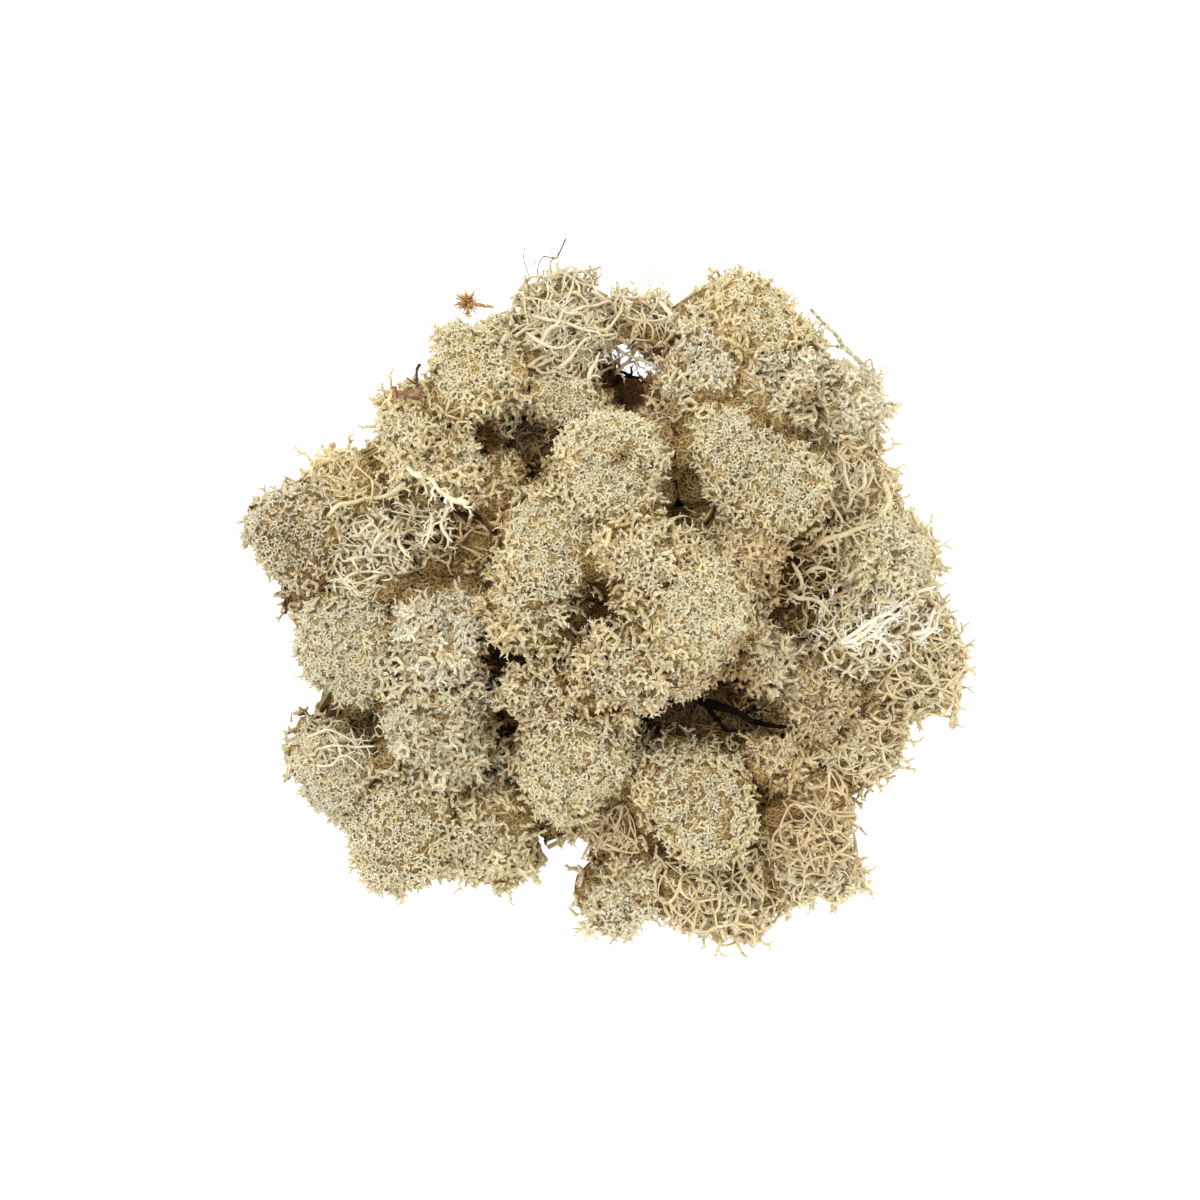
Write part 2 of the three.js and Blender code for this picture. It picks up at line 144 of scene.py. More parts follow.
# a head: where its middle is and its radius in mm, its habit, and its slot's colour. look names other
# shades than the slot's, deep is how strongly it darkens inwards, partly as painted shade and partly
# as real browning, rise its height as a share of its width, leafy the share of rosettes and antlers
# that it keeps, fan the compass angle that an open head's branches run in, and mains and mainThick
# the number and thickness of its main branches
def headAt(x, y, z, radius, habit, colour, **more):
    return {"at": (x, y, z), "radius": radius, "habit": habit, "colour": colour, **more}


heads = {
    "middle_1": headAt(0.5, 35.6, 50, 16.5, "dense", "cream", deep=1.25),
    "middle_2": headAt(31, 40, 48, 12.5, "dense", "white", look="cream", deep=1.7),
    "middle_3": headAt(45, 29, 46, 14, "dense", "cream", deep=1.6),
    "middle_4": headAt(-16.5, 14, 46, 15, "dense", "cream", deep=1.3),
    "middle_5": headAt(8, 10, 53, 15, "net", "golden", deep=1.35),
    "middle_6": headAt(24.5, -3.5, 51, 16.5, "dense", "golden", look="cream"),
    "middle_7": headAt(36.5, 11.5, 45, 11.5, "net", "golden", look="umber"),
    "middle_8": headAt(-22, -3.5, 42, 12.5, "net", "golden", deep=1.4),
    "middle_9": headAt(2.5, -19.5, 47, 15, "net", "golden", look="tan", deep=1.65),
    "middle_10": headAt(-18.5, -28, 40, 12.5, "net", "golden", look="tan", deep=1.6),
    "middle_11": headAt(20.5, -17, 44, 11, "dense", "cream", look="umber", deep=1.2),
    "middle_12": headAt(-11, -44, 35, 17, "dense", "cream", deep=1.55),
    "middle_13": headAt(23, -55, 34, 17.5, "dense", "cream", deep=1.9),
    "left_1": headAt(-84, 15.5, 20, 17, "dense", "grey", deep=2.1),
    "left_2": headAt(-65, 8, 24, 13.5, "open", "white", leafy=0.8),
    "left_3": headAt(-70, -14.5, 26, 17, "dense", "grey", deep=1.15),
    "left_4": headAt(-46, -11.5, 31, 16.5, "net", "white"),
    "left_5": headAt(-48.5, -37, 30, 16.5, "net", "grey", deep=1.2),
    "left_6": headAt(-75.5, -48.5, 24, 14, "dense", "grey", deep=1.15),
    "left_7": headAt(-56, -62, 20, 19, "dense", "cream", deep=1.7),
    "left_8": headAt(-35, -65.5, 20, 15, "net", "cream", deep=1.1),
    "left_9": headAt(-44, 17, 18, 15, "open", "tan", look="bright", deep=0.75, rise=0.9, leafy=0.5),
    "top_1": headAt(-36.5, 60, 32, 15, "dense", "golden", deep=1.2),
    "top_2": headAt(-54.5, 44, 26, 14, "net", "golden", deep=1.2),
    "top_3": headAt(-38, 34, 31, 13, "net", "golden", deep=1.15),
    "top_4": headAt(-11, 53, 34, 10, "dense", "cream", look="tan", deep=1.2),
    "top_5": headAt(-71, 30, 14, 11.5, "open", "golden", deep=0.5, rise=0.8),
    "top_6": headAt(-14, 70.5, 22, 18, "open", "golden", look="grey", rise=0.9, leafy=0.7, fan=50, mains=9,
                    mainThick=1.9),
    "top_7": headAt(10.5, 73, 17, 14, "open", "tan", look="bright", deep=0.75, rise=0.8, leafy=0.6, fan=80),
    "right_1": headAt(40.8, 76, 38, 13, "dense", "golden", deep=0.75),
    "right_2": headAt(24, 61, 34, 13.5, "net", "golden", look="bright"),
    "right_3": headAt(46, 57, 36, 13, "net", "golden", look="bright"),
    "right_4": headAt(66, 52, 24, 12, "net", "golden", look="bright", deep=0.3),
    "right_5": headAt(66.5, 33, 19, 14, "open", "golden", look="tan", deep=0.65, rise=0.9, leafy=0.45,
                      fan=65),
    "right_6": headAt(53, 5, 19, 16, "open", "tan", look="umber", deep=1.15, rise=0.9, leafy=0.25, fan=60),
    "right_7": headAt(75.5, 9.5, 25, 16, "net", "cream", deep=0.65),
    "right_8": headAt(69, -9.5, 33, 12, "open", "white", rise=0.8, fan=35, mains=3),
    "right_9": headAt(84.5, -17.5, 19, 16.5, "open", "tan", deep=0.7),
    "right_10": headAt(54.5, -28, 22, 15.5, "net", "grey", look="umber"),
    "right_11": headAt(39, -18.5, 36, 8.5, "net", "tan"),
    "right_12": headAt(68, -40, 15, 14, "open", "tan", deep=0.7, rise=0.9),
    "bottom_1": headAt(55.5, -61, 19, 16, "open", "golden", look="umber", deep=0.65, leafy=0.75),
    "bottom_2": headAt(29, -79.5, 14, 17.5, "open", "golden", look="tan", rise=0.9),
    "bottom_3": headAt(4, -82, 11, 13, "net", "golden", look="bright", deep=1.15, rise=0.9),
    "bottom_4": headAt(-2, -60, 14, 12, "open", "tan", look="umber", rise=0.9),
    "bottom_5": headAt(43.5, -44, 32, 8, "net", "golden", look="umber"),
    "bottom_6": headAt(54, -76, 12, 13, "open", "golden", look="bright", deep=0.75, rise=0.9),
}

# mats of dead stems, which carry the heads
mats = {
    "mat_middle": {"at": (2, -2, 13), "radius": 22, "spread": 44, "floor": 0.4},
    "mat_left": {"at": (-29, -15, 15), "radius": 12, "spread": 24, "floor": 1},
    "mat_right": {"at": (31, -34, 15), "radius": 12, "spread": 24, "floor": 1},
    "mat_top": {"at": (-23, 41, 15), "radius": 12, "spread": 24, "floor": 1},
    "mat_far": {"at": (10, 55, 14), "radius": 10, "spread": 21, "floor": 1},
}

# gaps between heads, cut into the domes and darkened further with painted shade: the place and
# radius of a ball in mm
hollows = [
    {"at": row[:3], "radius": row[3]}
    for row in (
        (-32, 43, 40, 4.5), (-21.5, 43.5, 40, 5), (-13.5, 43, 42, 3), (-29, -14, 39, 6.5),
        (-23.5, -20, 37, 6), (-28, -35, 38, 5), (15, -30, 43, 5), (28, -31, 41, 6.5), (42, -33, 39, 5),
    )
]

# small openings right through the clump, by place and radius in plan
windows = [{"at": row[:2], "radius": row[2]} for row in ((5, 65.5, 4.2), (11, 61, 3), (-44.5, 25.5, 1.2))]

# patches darkened along the depth ramp, partly browned branches and partly painted shade: place
# and radius in plan, and by how much
brownedAndShaded = [
    {"at": row[:2], "radius": row[2], "by": row[3]}
    for row in (
        (5, 57.5, 6.5, 0.8), (12, 67, 8, 0.3), (54, 53, 5, 0.4), (35, -12.4, 3, 0.5), (42, -53.5, 3.5, 0.5),
        (3, 37.5, 2.6, 0.5), (8.5, 33.5, 2.2, 0.4), (-43, 17, 12, 0.4), (-2, 2, 5, 0.3), (50, 4, 10, 0.35),
        (34, -24, 7, 0.4), (58, -33, 7, 0.2), (-20.5, 35, 5.5, 0.55), (-83, 13, 10, 0.16),
    )
]

form = {
    "seed": 311, "rim": 90, "lean": 0.45, "ceiling": 68.0,  # the clump's rim, its crowns' lean and its top
    "flat": 2.4, "squash": 0.1, "slim": 1.4, "blend": 3.6,  # a dome's shape and how domes melt together
    "near": 48, "gapMost": 60,  # mm to the heads that count, and the most that a gap does
    "from": 0.6, "to": 16, "halvings": 9,  # where a melted dome's surface is looked for
    "tallest": 75.0, "topHalvings": 8,  # and the clump's top
    "outerSlope": 2.5, "belowSlope": 2, "mixSlope": 3,  # how fast the dome turns into stems
    "stemSpread": 0.6, "stemDepth": 1.9, "stemWidth": 1.12,  # and what these measure, as shares
    "crownFrom": 0.55, "crownFade": 0.4, "crownPatches": 0.35,  # where the crown starts, softly
}


def unit(v):
    return v / np.maximum(np.linalg.norm(v, axis=-1, keepdims=True), tiny)


# points of a unit ball: height falls evenly, each next one is turned by the golden angle
def goldenDirections(count, turn=0.0):
    i = np.arange(count) + 0.5
    up = 1 - 2 * i / count
    out = np.sqrt(1 - up**2)
    angle = turn + math.pi * (3 - math.sqrt(5)) * i
    return np.stack([out * np.cos(angle), out * np.sin(angle), up], 1)


# smooth lumps: a sum of sines that run in random directions, about one wave to each length in mm
wave = {"count": 7, "spread": (0.7, 1.4), "limit": 1.4, "lobeEdge": 0.42}
waveLengths = {"lump": 30, "knob": 9, "crown": 18, "lobe": 17, "wobble": 7}


def makeWaves(length, draw):
    count = wave["count"]
    ways = unit(draw.normal(size=(count, 3))) * wholeTurn / length
    return ways * draw.uniform(*wave["spread"], (count, 1)), draw.uniform(0, wholeTurn, count)


def ripple(points, waves):
    ways, starts = waves
    high = wave["limit"]
    return np.clip(np.sin(points @ ways.T + starts).sum(1) / math.sqrt(len(starts)), -high, high)


waveDraw = np.random.default_rng(form["seed"])
lumpWaves = makeWaves(waveLengths["lump"], waveDraw)
knobWaves = makeWaves(waveLengths["knob"], waveDraw)
crownWaves = makeWaves(waveLengths["crown"], waveDraw)
lobeWaves = makeWaves(waveLengths["lobe"], np.random.default_rng(form["seed"] + 1))
wobbleWaves = makeWaves(waveLengths["wobble"], np.random.default_rng(form["seed"] + 2))


# 1 in the furrows between a head's lobes, which run where one of the waves crosses zero, and 0 on them
def furrow(points):
    return np.clip(1 - np.abs(ripple(points, lobeWaves)) / wave["lobeEdge"], 0, 1)


# flat walls where two balls would cut each other, as normals and distances from the cell's middle
def wallsBetween(cell, others):
    centre = np.array(cell["at"], float)
    toOther = np.array([c["at"] for c in others], float) - centre
    apart = np.linalg.norm(toOther, axis=1)
    radii = np.array([c["radius"] for c in others], float)
    distances = (apart**2 + cell["radius"] ** 2 - radii**2) / (2 * apart)
    return toOther / apart[:, None], distances


# how far a ray from the middle runs before it meets a wall
def reach(walls, directions):
    normals, distances = walls
    facing = directions @ normals.T
    return np.where(facing > tiny, distances / np.maximum(facing, tiny), far).min(1)


# how far a ray runs before it comes into one of the openings, which are upright tubes: the smaller
# root of a run^2 + b run + c = 0, where its distance from the tube's middle in plan is the radius
def windowReach(centre, directions):
    run = np.full(len(directions), far)
    for window in windows:
        away = centre[:2] - window["at"]
        a = (directions[:, :2] ** 2).sum(1)
        b = 2 * directions[:, :2] @ away
        c = away @ away - window["radius"] ** 2
        root = b**2 - 4 * a * c
        first = (-b - np.sqrt(np.maximum(root, 0))) / (2 * np.maximum(a, tiny))
        run = np.where((root > 0) & (first > 0), np.minimum(run, first), run)
    return run


# how much a ray points out of the clump, from 0 for inwards to 1
def outerShare(centre, directions):
    return np.clip(form["outerSlope"] * (directions[:, :2] @ centre[:2]) / form["rim"], 0, 1)


# the dome is a ball with a flattened top and a slightly oval plan, the sum of level^p and height^p;
# below it the stems spread until they meet the next head's, and draw in on the clump's outer side
def plainRadius(cell, directions):
    centre = np.array(cell["at"], float)
    long = np.array([math.cos(cell["turn"]), math.sin(cell["turn"])])
    cross = np.array([-long[1], long[0]])
    squash = 1 + form["squash"]
    level = np.hypot(directions[:, :2] @ long / squash, directions[:, :2] @ cross * squash)
    height = np.abs(directions[:, 2])
    power = form["flat"]
    tall = cell.get("rise", 1.0)
    dome = cell["radius"] / (level**power + (height / tall) ** power) ** (1 / power)
    below = np.clip(-form["belowSlope"] * directions[:, 2], 0, 1)
    across = cell["spread"] * (1 + form["stemSpread"] * below * (1 - outerShare(centre, directions)))
    upright = np.where(directions[:, 2] > 0, across * tall, across * form["stemDepth"])
    stems = 1 / np.sqrt((level / across) ** 2 + (height / upright) ** 2)
    if cell["habit"] == "dead":
        return stems
    mix = np.clip(-directions[:, 2] * form["mixSlope"], 0, 1)
    return dome * (1 - mix) + stems * form["stemWidth"] * mix


# whether points lie outside the heads once these melt into each other: a head's gap is how far a
# point is from its own surface, and the sum of exp(-gap / k) over all heads is 1 on the shared one
def outsideHeads(points, near):
    total = np.zeros(len(points))
    for head in near:
        away = points - head["at"]
        apart = np.linalg.norm(away, axis=1)
        gap = apart - plainRadius(head, away / np.maximum(apart, tiny)[:, None]) + form["slim"]
        total += np.exp(-np.clip(gap, -form["gapMost"], form["gapMost"]) / form["blend"])
    return total < 1


# halves the way between low and high until it is clear where outside(middle) turns true
def halved(low, high, outside, steps):
    for step in range(steps):
        middle = (low + high) / 2
        isOut = outside(middle)
        high, low = np.where(isOut, middle, high), np.where(isOut, low, middle)
    return (low + high) / 2


# a dome's radius with lumps and knobs on it and furrows between its lobes
def rippled(cell, directions, plain):
    habit = habits[cell["habit"]]
    points = np.array(cell["at"], float) + directions * plain[:, None]
    lumpy = plain + habit["lumps"] * ripple(points, lumpWaves) + habit["knobs"] * ripple(points, knobWaves)
    return lumpy - habit["lobes"] * furrow(points)


# where a ray from the head's middle leaves the melted heads
def meltedRadius(cell, directions):
    own = plainRadius(cell, directions)
    centre = np.array(cell["at"], float)
    near = [c for c in heads.values() if math.dist(c["at"], cell["at"]) < form["near"]]

    def outside(run):
        return outsideHeads(centre + directions * run[:, None], near)

    found = halved(form["from"] * own, own + form["to"], outside, form["halvings"])
    return rippled(cell, directions, found)


# the height of the melted heads over points in plan
def topAt(plan):
    def outside(height):
        return outsideHeads(np.column_stack([plan, height]), heads.values())

    return halved(np.zeros(len(plan)), np.full(len(plan), form["tallest"]), outside, form["topHalvings"])


for name, head in heads.items():
    head.update(name=name, floor=1.0, spread=head["radius"] * habits[head["habit"]]["share"])
for name, mat in mats.items():
    mat.update(name=name, habit="dead", colour="dead", rise=0.8)
grown = [*heads.values(), *mats.values()]
for cell in grown:
    normals, distances = wallsBetween(cell, [c for c in grown if c is not cell])
    down, up = [0, 0, -1.0], [0, 0, 1]
    cell["walls"] = (np.vstack([normals, down]), np.append(distances, cell["at"][2] - cell["floor"]))
    normals, distances = wallsBetween(cell, hollows)
    cell["gapWalls"] = (np.vstack([normals, up]), np.append(distances, form["ceiling"] - cell["at"][2]))
    cell["turn"] = waveDraw.uniform(0, math.pi)


# copies of one shape, each with its own points: the faces count on by the points of a copy
def repeated(vertices, faces, copies, points):
    every = faces[None] + (np.arange(copies) * points)[:, None, None]
    return vertices.reshape(-1, 3), every.reshape(-1, 3)


# a round profile carried along each path: ring = point + r (cos a side + sin a other); the paths
# lie in planes, and side is each plane's normal. Ends are closed with a fan
def tubes(paths, radii, planes, sides=3):
    count, rings = radii.shape
    along = unit(np.gradient(paths, axis=1)) if rings > 2 else unit(np.diff(paths, axis=1)).repeat(2, 1)
    side = unit(np.cross(np.cross(along, planes[:, None]), along))
    other = np.cross(along, side)
    angle = wholeTurn * np.arange(sides) / sides
    spoke = side[:, :, None] * np.cos(angle)[:, None] + other[:, :, None] * np.sin(angle)[:, None]
    vertices = paths[:, :, None] + radii[:, :, None, None] * spoke
    ring = np.arange(sides)
    nextOne = (ring + 1) % sides
    step = np.arange(rings - 1)[:, None] * sides
    low = np.stack([step + ring, step + nextOne, step + nextOne + sides], -1).reshape(-1, 3)
    high = np.stack([step + ring, step + nextOne + sides, step + ring + sides], -1).reshape(-1, 3)
    fan = np.stack([np.zeros(sides - 2, int), np.arange(1, sides - 1), np.arange(2, sides)], 1)
    faces = np.vstack([low, high, fan[:, ::-1], fan + (rings - 1) * sides])
    return repeated(vertices, faces, count, rings * sides)


# three corners round each place, half its thickness from it, across the way that along runs
def corners(places, along, thick):
    side = unit(np.cross(along, skew))
    other = np.cross(along, side)
    angle = wholeTurn * np.arange(3) / 3
    spoke = side[:, None] * np.cos(angle)[:, None] + other[:, None] * np.sin(angle)[:, None]
    return places[:, None] + np.asarray(thick).reshape(-1, 1, 1) / 2 * spoke


# thin three-sided points: three corners round each root and one at its tip
def spikes(roots, tips, thick):
    vertices = np.concatenate([corners(roots, unit(tips - roots), thick), tips[:, None]], 1)
    faces = np.array([[0, 1, 3], [1, 2, 3], [2, 0, 3], [2, 1, 0]])
    return repeated(vertices, faces, len(roots), 4)


# three-sided branches that bend once: a ring at the root, a thinner ring at the elbow, and the tip
def bentSpikes(roots, elbows, tips, thick, waist):
    first = corners(roots, unit(elbows - roots), thick)
    second = corners(elbows, unit(tips - roots), np.asarray(thick) * waist)
    vertices = np.concatenate([first, second, tips[:, None]], 1)
    faces = np.array([
        [0, 1, 4], [0, 4, 3], [1, 2, 5], [1, 5, 4], [2, 0, 3], [2, 3, 5],
        [3, 4, 6], [4, 5, 6], [5, 3, 6], [2, 1, 0],
    ])
    return repeated(vertices, faces, len(roots), 7)


band = {"inner": 0.3, "outer": 0.7, "keel": 0.2, "drop": 0.7}  # as shares of the band's width


# flat bands round the holes: a three-cornered profile (inner edge, outer edge, underside) carried once
# round each hole; across points from a hole's middle to every corner of its band
def bands(points, across, axes, hole, width):
    count, turns = across.shape[:2]
    inner = points[:, None] + across * (hole - band["inner"] * width)[..., None]
    outer = points[:, None] + across * (hole + band["outer"] * width)[..., None]
    keel = points[:, None] + across * (hole + band["keel"] * width)[..., None]
    keel = keel - (axes * band["drop"])[:, None] * width[..., None]
    vertices = np.stack([inner, outer, keel], 2)
    k = np.arange(turns)[:, None] * 3
    further = (k + 3) % (turns * 3)
    a, b = np.arange(3), (np.arange(3) + 1) % 3
    faces = np.concatenate([
        np.stack([k + a, k + b, further + b], -1).reshape(-1, 3),
        np.stack([k + a, further + b, further + a], -1).reshape(-1, 3),
    ])
    return repeated(vertices, faces, count, turns * 3)


# a ball grid of turns and heights, its poles closed, each point at radiusAt(direction)
def ballGrid(centre, radiusAt, turns, heights):
    lift = np.linspace(0, math.pi, heights + 2)[1:-1]
    turn = wholeTurn * np.arange(turns) / turns
    height, angle = np.meshgrid(lift, turn, indexing="ij")
    ring = np.stack([np.sin(height) * np.cos(angle), np.sin(height) * np.sin(angle), np.cos(height)], -1)
    directions = np.vstack([ring.reshape(-1, 3), [[0, 0, 1], [0, 0, -1]]])
    vertices = centre + directions * radiusAt(directions)[:, None]
    i, j = np.meshgrid(np.arange(heights - 1), np.arange(turns), indexing="ij")
    a, b = i * turns + j, i * turns + (j + 1) % turns
    quads = np.concatenate([
        np.stack([a, a + turns, b + turns], -1).reshape(-1, 3),
        np.stack([a, b + turns, b], -1).reshape(-1, 3),
    ])
    j = np.arange(turns)
    top = np.stack([np.full(turns, heights * turns), j, (j + 1) % turns], 1)
    last = (heights - 1) * turns
    bottom = np.stack([np.full(turns, heights * turns + 1), last + (j + 1) % turns, last + j], 1)
    return vertices, np.vstack([quads, top, bottom])


# one shape with its values for every point: depth in mm under the surface, tip 1 at a point's end,
# and under 1 on the shaded middle
def part(shape, depth=0.0, tip=0.0, tone=0.5, crown=0.0, under=0.0):
    vertices, faces = shape
    values = (depth, tip, tone, crown, under)
    values = [np.broadcast_to(np.asarray(v, float).ravel(), len(vertices)) for v in values]
    return vertices, faces, np.stack(values, 1)


def joined(parts):
    starts = np.cumsum([0] + [len(p[0]) for p in parts[:-1]])
    faces = np.concatenate([p[1] + start for p, start in zip(parts, starts)])
    return np.concatenate([p[0] for p in parts]), faces, np.concatenate([p[2] for p in parts])


# straight three-sided branches between two sets of points, with a thickness at each end
def links(starts, ends, startThick, endThick, depth, tone, crown):
    paths = np.stack([starts, ends], 1)
    radii = np.stack([startThick, endThick], 1) / 2
    shape = tubes(paths, radii, unit(np.cross(ends - starts, skew)))
    return part(shape, depth=np.repeat(depth, 6), tone=np.repeat(tone, 6), crown=np.repeat(crown, 6))


# spikes whose roots and ends have their own depth; the last of each four points is the tip
def spikeParts(starts, ends, thick, rootDepth, endDepth, tip, tone, crown):
    count = len(starts)
    depth = np.stack([np.broadcast_to(rootDepth, count)] * 3 + [np.broadcast_to(endDepth, count)], 1)
    tips = np.stack([np.zeros(count)] * 3 + [np.broadcast_to(tip, count)], 1)
    return part(spikes(starts, ends, thick), depth, tips, np.repeat(tone, 4), np.repeat(crown, 4))


# bent branches; depths and tips have three values, for the root, the elbow and the end
def bentParts(roots, elbows, ends, thick, waist, depths, tips, tone, crown):
    depths, tips = (np.tile(np.repeat(v, [3, 3, 1]), len(roots)) for v in (depths, tips))
    shape = bentSpikes(roots, elbows, ends, thick, waist)
    return part(shape, depths, tips, np.repeat(tone, 7), np.repeat(crown, 7))


# round branches along curved paths; the radii thin from root to end, which closes to a small point
def roundBranches(paths, radii, depth, tone, crown, sides=5, tip=0.8):
    count, rings = paths.shape[:2]
    shape = tubes(paths, radii, unit(np.cross(paths[:, -1] - paths[:, 0], skew)), sides)
    fade = 1 - 0.5 * np.linspace(0, 1, rings)  # ends lie half as deep as roots
    depths = (np.broadcast_to(depth, count)[:, None] * fade).repeat(sides, 1)
    tips = np.zeros((count, rings))
    tips[:, -1] = tip
    values = [np.asarray(v).reshape(-1, 1).repeat(rings * sides, 1) for v in (tone, crown)]
    return part(shape, depths, tips.repeat(sides, 1), *values)


layers = {
    "tries": 2.2, "fewest": 30,  # rays for each point that is wanted, and the fewest for a head
    "hexagon": 0.866,  # the room that a point takes over the square of its spacing
    "jitter": 0.8, "lowest": -0.85,  # how much rays scatter, and how far down they point
    "closeness": 0.9, "passes": 7, "underSlope": 2, "underSpacing": 0.7,  # thinning, wider on undersides
    "overlap": 0.6, "creaseDepth": 7,  # mm past a neighbour's wall, and down into the crease
    "clear": 2, "hidden": -1.5,  # hidden is what lies this far inside another head
    "recess": 11, "matSeen": 11, "matShare": 0.5,  # dead stems grow near a hollow, or low down
}


# rays from a head's middle, several for each point that is wanted, evenly spread and a little jittered
def manyRays(cell, spacing, draw):
    radius = cell["spread"] if cell["habit"] == "dead" else cell["radius"]
    area = layers["hexagon"] * spacing**2
    count = max(layers["fewest"], int(layers["tries"] * 4 * math.pi * radius**2 / area))
    directions = goldenDirections(count, draw.uniform(0, wholeTurn))
    directions = unit(directions + draw.normal(0, layers["jitter"] / math.sqrt(count), directions.shape))
    return directions[directions[:, 2] > layers["lowest"]]


# thins points until none is nearer to another than its own spacing: each round keeps those with the
# highest lot among their neighbours and drops the neighbours
def thinned(points, spacing, draw):
    apart = np.linalg.norm(points[:, None] - points[None], axis=2)
    near = apart < np.minimum(spacing[:, None], spacing)
    np.fill_diagonal(near, False)
    lots = draw.permutation(len(points)) + 1.0
    kept = np.zeros(len(points), bool)
    for step in range(layers["passes"]):
        best = np.where(near, lots, 0).max(1)
        chosen = (lots > best) & (lots > 0)
        kept |= chosen
        lots[chosen | near[:, chosen].any(1)] = 0
    return kept


# the way that a head's crown faces, which leans out from the clump's middle
def crownAxis(centre):
    return unit(np.array([centre[0], centre[1], form["rim"] / form["lean"]]))


# 1 on the crown and 0 on the flanks, with soft patches
def crownAt(cell, directions):
    centre = np.array(cell["at"], float)
    patches = ripple(centre + directions * cell["radius"], crownWaves)
    slope = (directions @ crownAxis(centre) - form["crownFrom"]) / form["crownFade"]
    return np.clip(slope + habits[cell["habit"]]["crown"] + form["crownPatches"] * patches, 0, 1)


# pairs of points, each point with its nearest few, none longer than the longest
def netPairs(points, count, longest):
    apart = np.linalg.norm(points[:, None] - points[None], axis=2)
    np.fill_diagonal(apart, far)
    count = min(count, len(points) - 1)
    nearest = np.argpartition(apart, count, axis=1)[:, :count]
    first = np.repeat(np.arange(len(points)), count)
    pairs = np.stack([first, nearest.ravel()], 1)
    pairs = pairs[apart[pairs[:, 0], pairs[:, 1]] < longest]
    return np.unique(np.sort(pairs, 1), axis=0)


# pairs are the least and most that a random share may be; depths are in mm under the surface
rosette = {
    "arms": 5, "turn": 0.22, "hole": (0.5, 1.5), "armHole": (0.6, 1.5), "reach": (0.75, 1.3),
    "lift": (0.0, 1.8), "thick": (0.8, 1.2), "onward": 0.3, "waist": 0.9, "fineFrom": 0.5, "fineThick": 1.1,
    "fineDepth": 1.2, "boldDepths": (1.7, 0.6, 0), "armTip": 0.8, "bandDepths": (1.2, 1.2, 2.6),
    "stemEvery": 3, "stemThick": 1.1, "stemDepths": (1.8, 3.0),
    "forks": ((0.8, 0.1), (-0.8, 0.45)),  # the side that each turns to and its place past the elbow
    "forkAhead": 0.8, "forkLean": (0.6, 1.3), "forkRise": (-0.2, 0.7), "forkLong": (0.65, 1.25),
    "forkThick": 0.76, "forkDepth": 0.5,
    "pointBack": 0.6, "pointLean": 0.9, "pointLong": (0.7, 1.2), "pointThick": 0.36, "pointDepth": 0.2,
}


